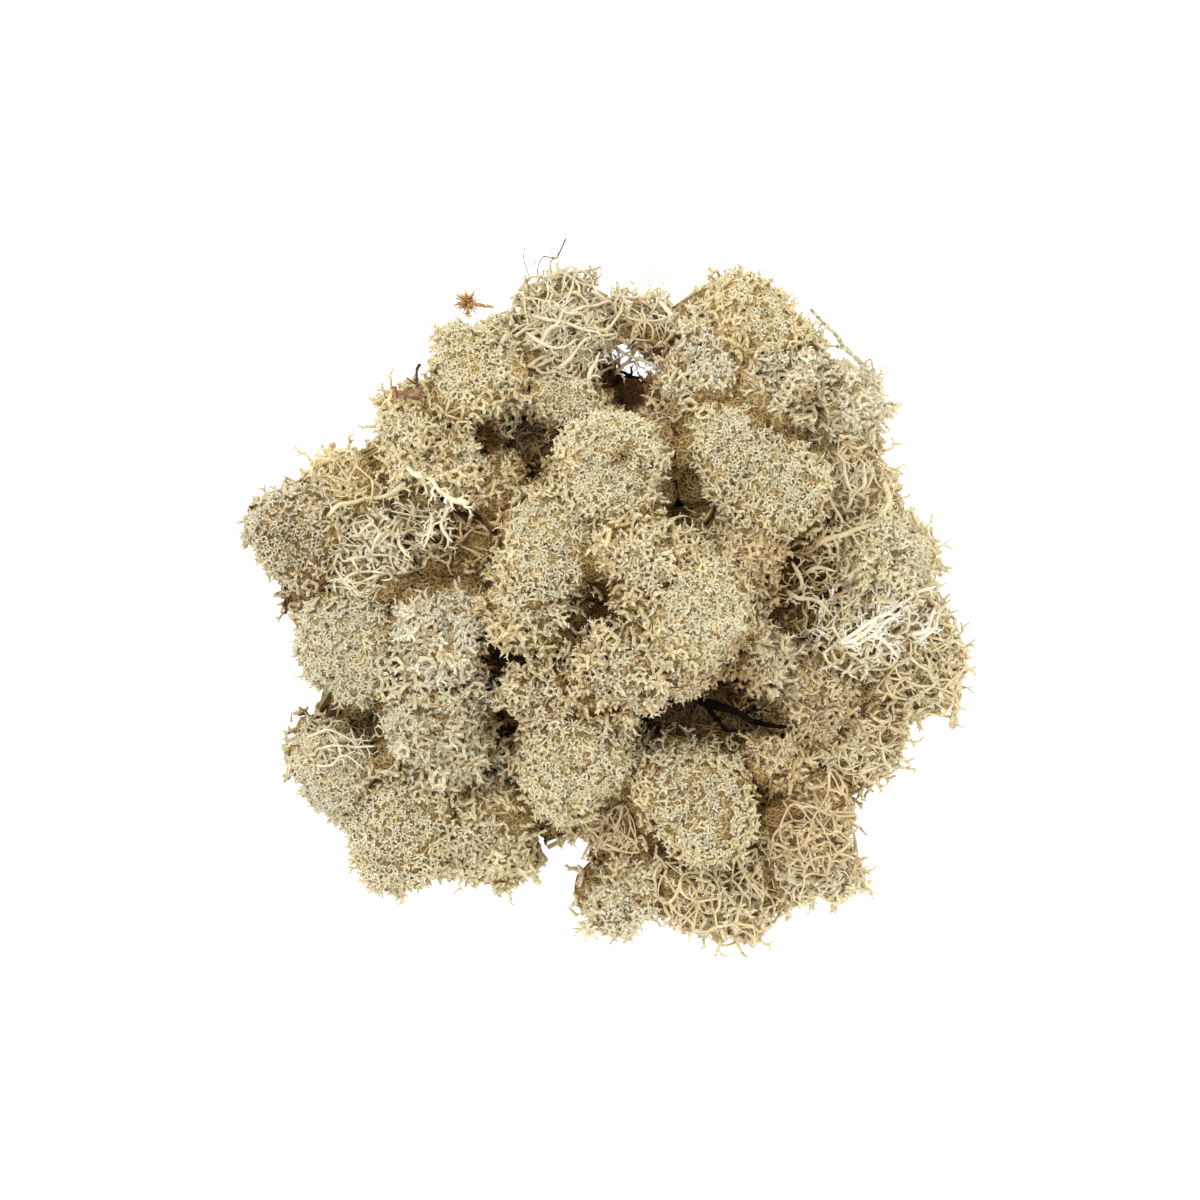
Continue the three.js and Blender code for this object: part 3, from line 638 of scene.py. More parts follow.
# rosettes: a ring round a small hole, arms that lean out from it and bend, two forks from each arm,
# and fine points at the ends. On crowns they are fine and straight; plain ones have no forks or points
def rosettes(habit, points, axes, crown, inward, draw, plain=False):
    count, arms = len(points), rosette["arms"]

    def mixed(key):
        return habit[key][1] + (habit[key][0] - habit[key][1]) * crown

    def rows(values):
        return values.reshape(-1, 3)

    def shares(key, *size):
        return draw.uniform(*rosette[key], size)

    side = unit(np.cross(axes, skew))
    other = np.cross(axes, side)
    turn = draw.uniform(0, wholeTurn, (count, 1)) + wholeTurn * np.arange(arms) / arms
    turn = turn + draw.normal(0, rosette["turn"], (count, arms))
    across = side[:, None] * np.cos(turn)[..., None] + other[:, None] * np.sin(turn)[..., None]
    sideways = np.cross(axes[:, None], across)
    size = mixed("spacing")
    hole = size * mixed("hole") * shares("hole", count)
    out = (size * mixed("reach"))[:, None] * shares("reach", count, arms)
    lift = mixed("lift")[:, None] * shares("lift", count, arms)
    up = axes[:, None]
    holes = hole[:, None] * shares("armHole", count, arms)
    ring = points[:, None] + across * holes[..., None]
    ends = points[:, None] + across * out[..., None] + up * lift[..., None]
    bend = draw.normal(0, habit["bend"], (2, count, arms, 1))
    elbows = ring * 0.5 + ends * 0.5 + up * bend[0] + sideways * bend[1]
    tips = ends + (ends - elbows) * rosette["onward"]
    thick = mixed("armThick")[:, None] * shares("thick", count, arms)
    tone = np.repeat(draw.uniform(0, 1, count), arms)
    shade = np.repeat(crown, arms)
    fine = shade > rosette["fineFrom"]
    bold = ~fine
    shape = (rows(ring)[fine], rows(tips)[fine], thick.ravel()[fine] * rosette["fineThick"])
    values = (rosette["fineDepth"], 0.0, rosette["armTip"], tone[fine], shade[fine])
    parts = [spikeParts(*shape, *values)]
    shape = (rows(ring)[bold], rows(elbows)[bold], rows(tips)[bold], thick.ravel()[bold], rosette["waist"])
    values = (rosette["boldDepths"], (0, 0, rosette["armTip"]), tone[bold], shade[bold])
    parts.append(bentParts(*shape, *values))
    width = thick.mean(1, keepdims=True) * shares("thick", count, arms)
    shape = bands(points, across, axes, holes, width)
    depths = np.tile(rosette["bandDepths"], count * arms)
    parts.append(part(shape, depths, 0.0, np.repeat(tone, 3), np.repeat(shade, 3)))
    for number in range(0, arms, rosette["stemEvery"]):
        shape = (ring[:, number], inward, thick[:, number] * rosette["stemThick"])
        parts.append(spikeParts(*shape, *rosette["stemDepths"], 0.0, tone[::arms], crown))
    if plain:
        return parts
    forkChance, pointChance = np.repeat(mixed("forks"), arms), np.repeat(mixed("points"), arms)
    forkLength, pointLength = mixed("forkLength")[:, None, None], np.repeat(mixed("pointLength"), arms)
    ahead = unit(tips - elbows)
    grownEnds = [(rows(tips), rows(ahead), pointLength, tone, shade, pointChance)]
    for turnTo, place in rosette["forks"]:
        lean = shares("forkLean", count, arms, 1) * turnTo
        rise = shares("forkRise", count, arms, 1)
        way = unit(ahead * rosette["forkAhead"] + sideways * lean + up * rise)
        starts = elbows + (tips - elbows) * place
        finish = starts + way * forkLength * shares("forkLong", count, arms, 1)
        kept = draw.random(count * arms) < forkChance
        starts, finish, way = rows(starts)[kept], rows(finish)[kept], rows(way)[kept]
        forkThick = thick.ravel()[kept] * rosette["forkThick"]
        values = (rosette["forkDepth"], 0.0, 1.0, tone[kept], shade[kept])
        parts.append(spikeParts(starts, finish, forkThick, *values))
        grownEnds.append((finish, way, pointLength[kept], tone[kept], shade[kept], pointChance[kept]))
    ends, ways, lengths, tone, shade, likely = (np.concatenate(column) for column in zip(*grownEnds))
    lengths = lengths[:, None]
    for sign in (1, -1):
        kept = draw.random(len(ends)) < likely
        starts = ends[kept] - ways[kept] * lengths[kept] * rosette["pointBack"]
        aside = unit(np.cross(ways[kept], unit(draw.normal(size=(kept.sum(), 3)))))
        way = unit(ways[kept] + aside * sign * rosette["pointLean"])
        finish = starts + way * lengths[kept] * shares("pointLong", kept.sum(), 1)
        values = (rosette["pointDepth"], 0.0, 1.0, tone[kept], shade[kept])
        parts.append(spikeParts(starts, finish, rosette["pointThick"], *values))
    return parts


antler = {
    "levels": 3, "long": (0.7, 1.25), "bend": 0.13, "arch": 0.07, "waist": 0.92, "tips": (0, 0.2, 0.9),
    "ahead": 0.75, "lean": (0.5, 0.95), "rise": (-0.15, 0.35), "thinner": (0.78, 0.7), "shorter": 0.64,
}


# antlers: a bent stem from which two thinner branches fork, and two from each of these. Every one of
# them runs to a point, and the forks turn off to both sides of the plane that up stands on
def antlers(roots, ways, up, long, thick, depth, tone, crown, draw):
    parts = []
    starts, along, size, long = roots, ways, thick, np.broadcast_to(long, (len(roots), 1))
    levels = antler["levels"]
    for level in range(levels):
        count = len(starts)
        side = unit(np.cross(up, along))
        length = long * draw.uniform(*antler["long"], (count, 1))
        bend = draw.normal(0, antler["bend"], (2, count, 1)) * length
        elbows = starts + along * length * 0.5 + side * bend[0] + up * length * antler["arch"]
        tips = starts + along * length + side * bend[1]
        rootDepth, endDepth = depth * (1 - level / levels), depth * (1 - (level + 1) / levels)
        if level < levels - 1:
            depths = (rootDepth, (rootDepth + endDepth) / 2, endDepth)
            shape = (starts, elbows, tips, size, antler["waist"])
            parts.append(bentParts(*shape, depths, antler["tips"], tone, crown))
        else:
            parts.append(spikeParts(starts, tips, size, rootDepth, 0.0, 1.0, tone, crown))
        sign = draw.choice([-1, 1], (count, 1))
        ahead = unit(tips - elbows)
        nextStarts, nextWays = [], []
        for turnTo, place in ((sign, 0.0), (-sign, 0.5)):
            lean = side * turnTo * draw.uniform(*antler["lean"], (count, 1))
            lean = lean + up * draw.uniform(*antler["rise"], (count, 1))
            nextStarts.append(elbows + (tips - elbows) * place)
            nextWays.append(unit(ahead * antler["ahead"] + lean))
        starts, along = np.concatenate(nextStarts), np.concatenate(nextWays)
        size = np.concatenate([size * share for share in antler["thinner"]])
        up, long = np.tile(up, (2, 1)), np.tile(long, (2, 1)) * antler["shorter"]
        tone, crown = np.tile(tone, 2), np.tile(crown, 2)
    return parts


web = {"rings": 5, "bow": 0.13, "rise": (-0.5, 1.0), "thick": (0.6, 1.15), "waist": 0.42, "crown": 0.25}


# a net of thick bent branches that join hubs near the surface, each with its nearest few; they bow
# sideways and up by the sine of the way along them, and are waisted in the middle
def webs(hubs, rays, nearest, longest, thick, depth, draw):
    i, j = netPairs(hubs, nearest, longest).T
    t = np.linspace(0, 1, web["rings"])
    arch = np.sin(math.pi * t)
    bow = np.cross(rays[i], hubs[j] - hubs[i]) * draw.normal(0, web["bow"], (len(i), 1))
    bow = bow + rays[i] * draw.uniform(*web["rise"], (len(i), 1))
    paths = hubs[i][:, None] * (1 - t)[:, None] + hubs[j][:, None] * t[:, None] + bow[:, None] * arch[:, None]
    size = thick * draw.uniform(*web["thick"], (len(i), 1))
    radii = size * (1 - web["waist"] * arch) / 2
    tone = draw.uniform(0, 1, len(i))
    return roundBranches(paths, radii, depth, tone, np.full(len(i), web["crown"]), sides=4, tip=0.0)


main = {
    "count": 4, "thick": 1.3, "rings": 10, "sizes": (0.6, 1.1), "taper": 0.62, "end": 0.4, "crown": 0.2,
    "back": 0.9, "swing": 0.6, "spread": 0.25, "endSpread": 0.2, "low": 0.1, "high": 0.8,  # its two rays
    "over": 0.35, "bow": 0.2, "wave": (0.07, 9),  # how far it leaves the straight way between them
    "overlap": 1.5, "depth": 0.8, "rootDepth": 6.5, "rootPower": 3, "depthWave": (0.5, 7), "shade": 3.4,
    "sidesAt": (2, 3, 4, 5, 6), "sideRings": 6, "sideLean": (0.5, 1.1), "sideLong": (3.5, 8.0),
    "sideCurve": 0.45, "sideDepth": 0.7, "sideFrom": 2.5,  # its side branches, which start at these rings
    "sideThick": 0.72, "sideTaper": 0.65, "sideShade": 2.4,
}


# the main branches of an open head: they sweep over the dome from its inner side to its far side, on
# arcs between two rays, and lie deeper at the root; each has side branches that turn off along the dome
def mainBranches(cell, fan, surfaceAt, draw):
    centre = np.array(cell["at"], float)
    ahead = np.array([math.cos(fan), math.sin(fan), 0])
    sideways = np.array([-ahead[1], ahead[0], 0])
    up = np.array([0, 0, 1.0])
    count, rings = cell.get("mains", main["count"]), main["rings"]
    swing = np.linspace(-1, 1, count) + draw.normal(0, main["spread"], count)
    high = draw.uniform(0.0, 1.0, count)
    startSwing = swing * main["swing"] + draw.normal(0, main["spread"], count)
    startHigh = main["low"] + main["high"] * high
    starts = unit(-ahead * main["back"] + sideways * startSwing[:, None] + up * startHigh[:, None])
    endSwing = swing + draw.normal(0, main["endSpread"], count)
    ends = unit(ahead * main["back"] + sideways * endSwing[:, None] + up * high[:, None])
    t = np.linspace(0, 1, rings)
    turns = draw.uniform(0, wholeTurn, (count, 1))
    size, often = main["wave"]
    bow = draw.normal(0, main["bow"], (count, 1)) * np.sin(math.pi * t) + size * np.sin(often * t + turns)
    rays = starts[:, None] * (1 - t)[:, None] + ends[:, None] * t[:, None]
    rays = unit(rays + up * (main["over"] * np.sin(math.pi * t))[:, None] + bow[..., None] * sideways)

    def onDome(rays, depth):
        flat = rays.reshape(-1, 3)
        room = reach(cell["walls"], flat) + main["overlap"]
        run = np.minimum(surfaceAt(flat), room).reshape(rays.shape[:-1])
        return centre + rays * (run - depth)[..., None]

    size, often = main["depthWave"]
    depth = main["depth"] + main["rootDepth"] * (1 - t) ** main["rootPower"]
    depth = depth + size * np.sin(often * t + turns)
    paths = onDome(rays, depth)
    size = cell.get("mainThick", main["thick"]) * draw.uniform(*main["sizes"], (count, 1))
    taper = 1 - main["taper"] * t
    radii = size * taper / 2
    radii[:, -1] *= main["end"]
    tone, crown = draw.uniform(0, 1, count), np.full(count, main["crown"])
    parts = [roundBranches(paths, radii, main["shade"], tone, crown)]
    s = np.linspace(0, 1, main["sideRings"])[:, None]
    for place in main["sidesAt"]:
        sign = draw.choice([-1, 1], count)[:, None]
        roots = paths[:, place]
        along = unit(paths[:, place + 1] - roots)
        lean = np.cross(rays[:, place], along) * sign * draw.uniform(*main["sideLean"], (count, 1))
        way = unit(along + lean)
        long = draw.uniform(*main["sideLong"], count)[:, None, None]
        curve = roots[:, None] + way[:, None] * s * long + along[:, None] * s**2 * long * main["sideCurve"]
        depths = np.full((count, len(s)), main["sideDepth"])
        bent = onDome(unit(curve - centre), depths)
        blend = np.clip(s * main["sideFrom"], 0, 1)
        bent = roots[:, None] * (1 - blend) + bent * blend
        sideTaper = 1 - main["sideTaper"] * s[:, 0]
        sideRadii = size * taper[place] * main["sideThick"] * sideTaper / 2
        sideRadii[:, -1] *= main["end"]
        parts.append(roundBranches(bent, sideRadii, main["sideShade"], tone, crown, sides=4))
    return parts


stem = {
    "rim": 52, "count": 34, "rings": 6,  # heads this many mm from the clump's middle have them
    "half": 1.45, "jitter": 0.06, "wander": (0.1, 0.12),  # compass angles, to both sides of outwards
    "start": 0.05, "fall": 1.15, "lift": 0.1,  # angles under the equator, and their scatter
    "out": (-0.2, 1.0), "thick": 1.5, "sizes": (0.6, 1.2), "taper": 0.3, "depths": (3.5, 6.5),
}


# dead stems down the outer flank of a head at the clump's rim: each follows the shaded middle from
# near the equator to the ground, with a little wander in its compass angle
def flankStems(cell, coreAt, draw):
    centre = np.array(cell["at"], float)
    count, rings, half = stem["count"], stem["rings"], stem["half"]
    outward = math.atan2(centre[1], centre[0])
    angle = outward + np.linspace(-half, half, count) + draw.normal(0, stem["jitter"], count)
    t = np.linspace(0, 1, rings)
    bow, drift = (draw.normal(0, spread, (count, 1)) for spread in stem["wander"])
    turn = angle[:, None] + (bow * np.sin(math.pi * t) + drift * t)
    lift = stem["lift"] * draw.normal(0, 1, (count, 1)) - stem["fall"] * t - stem["start"]
    rays = np.stack([np.cos(lift) * np.cos(turn), np.cos(lift) * np.sin(turn), np.sin(lift)], -1)
    run = coreAt(rays.reshape(-1, 3)).reshape(count, rings) + draw.uniform(*stem["out"], (count, 1))
    size = stem["thick"] * draw.uniform(*stem["sizes"], (count, 1))
    radii = size * (1 - stem["taper"] * t) / 2
    tone = draw.uniform(0, 1, count)
    depth = draw.uniform(*stem["depths"], count)
    paths = centre + rays * run[..., None]
    return roundBranches(paths, radii, depth, tone, np.zeros(count), sides=3, tip=0.0)


growth = {
    "rootDepth": 0.35, "rootRoom": 0.7,  # where a head's branches start, as shares of what is under it
    "roseDepth": 0.5, "roseLean": 0.25,  # mm that rosettes lie under the surface, and their lean upwards
    "hubRange": 0.5, "sinkMost": 2.0, "above": 0.1,  # how wide a domelet is, and the most that it sinks
    "hubThick": (0.75, 1.2), "netReach": 1.5, "netNearest": 3, "deepNearest": 2,  # the net's branches
    "forkThick": 0.75, "rootThick": 1.5, "rootShade": 1.5,
    "webDepth": 1.1, "webReach": 1.6, "webShade": 2.9,  # an open head's net near the surface
    "leafy": (0.6, 0.7, 0.3),  # its share of rosettes: in the middle, more towards the fan, the least
    "antlerOut": 0.8, "antlerStray": 0.45, "antlerRise": (0.35, 0.45), "antlerThick": (0.7, 1.15),
    "rimFrom": 1.2, "rimFade": 2.4, "rimHeight": 0.15, "rimThin": 0.25, "rimLong": 0.4,  # antlers there
    "below": 1.2, "belowCrown": 0.6,  # how much wider and less of a crown the second layer is
    "coreTurns": 30, "coreHeights": 18, "coreLeast": 0.3,  # the shaded middle
    "coreLow": 2.8, "coreRim": 4.0, "coreSlope": 3,  # its depth low down, inwards and at the rim
    "coreGap": -0.3, "coreRound": 1.6, "coreFade": 3,  # and how it is rounded off where it meets walls
}
# painted shade: inwards (partly the real browning of inner branches), low on a head, in creases, furrows and
# hollows, and in the patches that are partly browned
shading = {
    "inwards": 9.0,  # mm under the surface at which a head with deep 1 is as dark as can be
    "low": 0.24, "lowMost": 1.5, "creaseWidth": 3.5, "crease": 0.12, "lobe": 0.05,
    "pit": 0.95, "pitDrop": 4, "pitEdge": 1.6, "brownShadeEdge": 1.5,  # edges in radii from the middle
}


# depth values from 0 to 1, the sum of what darkens a place: being under the surface, partly real
# browning and partly painted shade, and painted shade low on the head, near a neighbour's wall, in a
# furrow or a hollow, and in patches that are partly browned and partly painted shade
def shadeOf(cell, vertices, depth):
    # painted shade low on a head; the depth term is partly real browning and partly painted shade
    low = np.clip((cell["at"][2] - vertices[:, 2]) / cell["radius"], 0, shading["lowMost"])
    shade = depth / shading["inwards"] * cell.get("deep", 1) + low * shading["low"]
    # painted shade in the crease along a neighbour's wall, and in the furrows between lobes
    normals, distances = cell["walls"]
    fromWall = (distances[:-1] - (vertices - cell["at"]) @ normals[:-1].T).min(1)
    shade += shading["crease"] * np.clip(1 - fromWall / shading["creaseWidth"], 0, 1)
    shade += shading["lobe"] * habits[cell["habit"]]["lobes"] * furrow(vertices)
    # painted shade in the hollows, each measured from a point a little below its ball
    for pit in hollows:
        apart = np.linalg.norm(vertices - pit["at"] + [0, 0, shading["pitDrop"]], axis=1) / pit["radius"]
        shade += shading["pit"] * np.clip(shading["pitEdge"] - apart, 0, 1)
    # patches that are partly browned and partly painted shade
    for spot in brownedAndShaded:
        apart = np.linalg.norm(vertices[:, :2] - spot["at"], axis=1) / spot["radius"]
        shade += spot["by"] * np.clip(shading["brownShadeEdge"] - apart, 0, 1)
    return np.clip(shade, 0, 1)


# one whole head or mat: layers of points over its dome that carry a net, rosettes and antlers, round
# a shaded middle. An open head also has webs and main branches, and one at the rim has dead stems
def growCell(cell, order):
    habit = habits[cell["habit"]]
    draw = np.random.default_rng(form["seed"] + 10 + order)
    centre = np.array(cell["at"], float)
    isMat = cell["habit"] == "dead"
    others = [h for h in heads.values() if h is not cell]
    otherPlaces = np.array([h["at"] for h in others], float)
    otherSizes = np.array([h["radius"] for h in others])
    down = np.array([[0, 0, -1.0]])
    room = growth["rootRoom"] * reach(cell["walls"], down)[0]
    root = centre + down[0] * min(growth["rootDepth"] * cell["radius"], room)

    def surfaceAt(directions):
        if isMat:
            melted = rippled(cell, directions, plainRadius(cell, directions))
        else:
            melted = meltedRadius(cell, directions)
        melted = np.minimum(melted, reach(cell["gapWalls"], directions))
        return np.minimum(melted, windowReach(centre, directions))

    # points of one layer: where rays leave the melted dome or meet a neighbour's wall just under it,
    # thinned to their spacing. On the underside what another head hides is left out
    def layer(spacing, depth):
        directions = manyRays(cell, min(spacing), draw)
        surface = surfaceAt(directions)
        room = reach(cell["walls"], directions) + layers["overlap"]
        edge = np.minimum(surface, room)
        kept = room > surface - layers["creaseDepth"]
        beyond = centre + directions * (edge + layers["clear"])[:, None]
        gaps = np.linalg.norm(beyond[:, None] - otherPlaces, axis=2)
        hidden = (gaps - otherSizes).min(1) < layers["hidden"]
        kept &= ~hidden | (directions[:, 2] > 0)
        if isMat:
            places = centre + directions * edge[:, None]
            gapPlaces = np.array([h["at"][:2] for h in hollows], float)
            nearest = np.linalg.norm(places[:, None, :2] - gapPlaces, axis=2).min(1)
            low = (places[:, 2] < layers["matSeen"]) & (draw.random(len(places)) < layers["matShare"])
            kept = ~hidden & ((nearest < layers["recess"]) | low)
        directions, edge = directions[kept], edge[kept]
        places = centre + directions * edge[:, None]
        crown = crownAt(cell, directions)
        lower = np.clip(-layers["underSlope"] * directions[:, 2], 0, 1)
        under = 1 + layers["underSpacing"] * lower
        wished = (spacing[1] + (spacing[0] - spacing[1]) * crown) * under * layers["closeness"]
        kept = thinned(places, wished, draw)
        places, directions = places[kept], directions[kept]
        return places - directions * depth, directions, crown[kept]

    parts = []
    points, rays, crown = layer(habit["spacing"], habit["lift"][0] + growth["roseDepth"])
    net = habit["net"]
    hubs, hubRays, hubCrown = layer(net["spacing"], net["depth"])
    # the branches below draw the rosettes into low domelets: they sink with the square of their distance
    angle = np.arccos(np.clip((rays @ unit(hubs - centre).T).max(1), -1, 1)) * cell["radius"]
    asShare = angle / (net["spacing"][0] * growth["hubRange"])
    sink = habit["domelets"] * np.minimum(asShare**2, growth["sinkMost"])
    points = points + rays * (draw.uniform(-habit["uneven"], growth["above"], len(points)) - sink)[:, None]

    hubs = hubs + draw.normal(0, net["rough"] / 2, hubs.shape)
    thick = net["thick"] * draw.uniform(*growth["hubThick"], len(hubs))
    tone = draw.uniform(0, 1, len(hubs))
    depth = np.full(len(hubs), net["depth"])
    longest = net["spacing"][1] * growth["netReach"]
    if habit["web"]:
        nearest = growth["deepNearest"]
        parts.append(webs(hubs, hubRays, nearest, longest, net["thick"], net["depth"], draw))
    else:
        i, j = netPairs(hubs, growth["netNearest"], longest).T
        endThick = thick[j] * growth["forkThick"]
        parts.append(links(hubs[i], hubs[j], thick[i], endThick, depth[i], tone[i], hubCrown[i]))
    roots = np.broadcast_to(root, hubs.shape)
    rootThick, rootDepth = thick * growth["rootThick"], depth + growth["rootShade"]
    parts.append(links(hubs, roots, thick, rootThick, rootDepth, tone, hubCrown))

    def addRosettes(points, rays, crown, plain):
        parent = (unit(points - root) @ unit(hubs - root).T).argmax(1)
        axes = unit(rays + draw.normal(0, habit["tilt"], rays.shape) + [0, 0, growth["roseLean"]])
        return rosettes(habit, points, axes, crown, hubs[parent], draw, plain)

    if habit["web"]:
        knots, knotRays, _ = layer((habit["web"], habit["web"]), growth["webDepth"])
        longest = habit["web"] * growth["webReach"]
        nearest = growth["netNearest"]
        parts.append(webs(knots, knotRays, nearest, longest, habit["webThick"], growth["webShade"], draw))
        fan = math.radians(cell.get("fan", math.degrees(math.atan2(centre[1], centre[0]))))
        forward = rays @ [math.cos(fan), math.sin(fan), 0]
        middle, slope, least = growth["leafy"]
        likely = np.clip(middle + slope * forward, least, 1) * cell.get("leafy", 1)
        kept = draw.random(len(rays)) < likely
        points, rays, crown = points[kept], rays[kept], crown[kept]
        parts += mainBranches(cell, fan, surfaceAt, draw)
    parts += addRosettes(points, rays, crown, False)
    # antlers lie along the flanks, away from the crown, and stand out at the clump's rim
    stand = habit["antlers"]
    spots, spotRays, spotCrown = layer((stand["spacing"], stand["spacing"]), stand["depth"])
    kept = (spotCrown < stand["below"]) & (draw.random(len(spots)) < cell.get("leafy", 1))
    spots, spotRays, spotCrown = spots[kept], spotRays[kept], spotCrown[kept]
    axis = crownAxis(centre)
    outward = unit(spotRays - axis * (spotRays @ axis)[:, None])
    level = growth["rimFrom"] - growth["rimFade"] * np.abs(spotRays[:, 2:] - growth["rimHeight"])
    rim = np.clip(level, 0, 1) * np.clip(spotRays[:, :2] @ unit(centre[:2]), 0, 1)[:, None]
    rise = growth["antlerRise"][0] + growth["antlerRise"][1] * rim
    stray = draw.normal(0, growth["antlerStray"], spotRays.shape)
    ways = unit(outward * growth["antlerOut"] + stray + spotRays * rise)
    size = stand["thick"] * draw.uniform(*growth["antlerThick"], len(spots))
    size = size * (1 - growth["rimThin"] * rim[:, 0])
    tone = draw.uniform(0, 1, len(spots))
    long = stand["long"] * (1 + growth["rimLong"] * rim)
    parts += antlers(spots, ways, spotRays, long, size, stand["depth"], tone, spotCrown, draw)

    if habit["second"]:
        wider = [growth["below"] * gap for gap in habit["spacing"]]
        points, rays, crown = layer(wider, habit["lift"][0] + growth["roseDepth"] + habit["second"])
        below = addRosettes(points, rays, crown * growth["belowCrown"], True)
        for piece in below:
            piece[2][:, 0] += habit["second"]
        parts += below

    # the shaded middle that fills the head behind its branches, nearer to the surface low down; its dark
    # colour is painted shade
    def coreAt(rays):
        outer = outerShare(centre, rays)
        lowest = growth["coreLow"] + (growth["coreRim"] - growth["coreLow"]) * outer
        depth = habit["core"] + (lowest - habit["core"]) * np.clip(-growth["coreSlope"] * rays[:, 2], 0, 1)
        inside = np.maximum(surfaceAt(rays) - depth, growth["coreLeast"] * cell["radius"])
        room = np.maximum(reach(cell["walls"], rays) - growth["coreGap"], 1)
        edge = np.exp(-np.abs(inside - room) / growth["coreFade"])
        return np.maximum(np.minimum(inside, room) - growth["coreRound"] * edge, 1)

    if not isMat and np.hypot(*centre[:2]) > stem["rim"]:
        parts.append(flankStems(cell, coreAt, draw))
    shape = ballGrid(centre, coreAt, growth["coreTurns"], growth["coreHeights"])
    parts.append(part(shape, depth=habit["core"], under=1.0))
    vertices, faces, values = joined(parts)
    values[:, 0] = shadeOf(cell, vertices, values[:, 0])
    return np.clip(vertices, boxLow, boxHigh), faces, values


def newGroup(name, inputs, outputs):
    group = bpy.data.node_groups.new(name, "ShaderNodeTree")
    for socketName, kind, value in inputs:
        socket = group.interface.new_socket(socketName, in_out="INPUT", socket_type=kind)
        socket.default_value = value
    for socketName, kind in outputs:
        group.interface.new_socket(socketName, in_out="OUTPUT", socket_type=kind)
    return group, group.nodes.new("NodeGroupInput").outputs, group.nodes.new("NodeGroupOutput").inputs


def plug(tree, value, socket):
    if isinstance(value, bpy.types.NodeSocket):
        tree.links.new(value, socket)
    else:
        socket.default_value = value


def mixColour(tree, factor, a, b, kind="MIX"):
    node = tree.nodes.new("ShaderNodeMix")
    node.data_type = "RGBA"
    node.blend_type = kind
    for number, value in ((0, factor), (6, a), (7, b)):  # the sockets for the factor and both colours
        plug(tree, value, node.inputs[number])
    return node.outputs[2]


def ramp(tree, value, low, high, outLow=0.0, outHigh=1.0):
    node = tree.nodes.new("ShaderNodeMapRange")
    node.interpolation_type = "SMOOTHSTEP"
    tree.links.new(value, node.inputs[0])
    for index, number in enumerate((low, high, outLow, outHigh), start=1):
        node.inputs[index].default_value = number
    return node.outputs[0]


def noise(tree, vector, scale, detail=2.0):
    node = tree.nodes.new("ShaderNodeTexNoise")
    tree.links.new(vector, node.inputs["Vector"])
    node.inputs["Scale"].default_value = scale
    node.inputs["Detail"].default_value = detail
    return node.outputs["Fac"]


def maths(tree, kind, a, b):
    node = tree.nodes.new("ShaderNodeMath")
    node.operation = kind
    for socket, value in zip(node.inputs, (a, b)):
        plug(tree, value, socket)
    return node.outputs[0]


# how far a point is from the borders of scattered cells: near them run the strands of a fine net
def strands(tree, vector, scale, width, wobbleBy=0.8, edge=0.02):
    wobble = tree.nodes.new("ShaderNodeTexNoise")
    wobble.inputs["Scale"].default_value = scale * wobbleBy
    tree.links.new(vector, wobble.inputs["Vector"])
    bent = tree.nodes.new("ShaderNodeVectorMath")
    bent.operation = "MULTIPLY_ADD"
    tree.links.new(wobble.outputs["Color"], bent.inputs[0])
    bent.inputs[1].default_value = [wobbleBy / scale] * 3
    tree.links.new(vector, bent.inputs[2])
    cells = tree.nodes.new("ShaderNodeTexVoronoi")
    cells.feature = "DISTANCE_TO_EDGE"
    cells.inputs["Scale"].default_value = scale
    tree.links.new(bent.outputs[0], cells.inputs["Vector"])
    return ramp(tree, cells.outputs["Distance"], edge, width, 1.0, 0.0)


# inputs of a group: its position, some numbers and some colours
def groupInputs(numbers, colours):
    sockets = [("Position", "NodeSocketVector", (0, 0, 0))]
    sockets += [(name, "NodeSocketFloat", 0.0) for name in numbers]
    return sockets + [(name, "NodeSocketColor", (0, 0, 0, 1)) for name in colours]


groupOutputs = [("Colour", "NodeSocketColor"), ("Height", "NodeSocketFloat")]

lichenFinish = {"roughness": 0.92, "specular": 0.2, "bump": 0.8}  # bump in mm, here and below
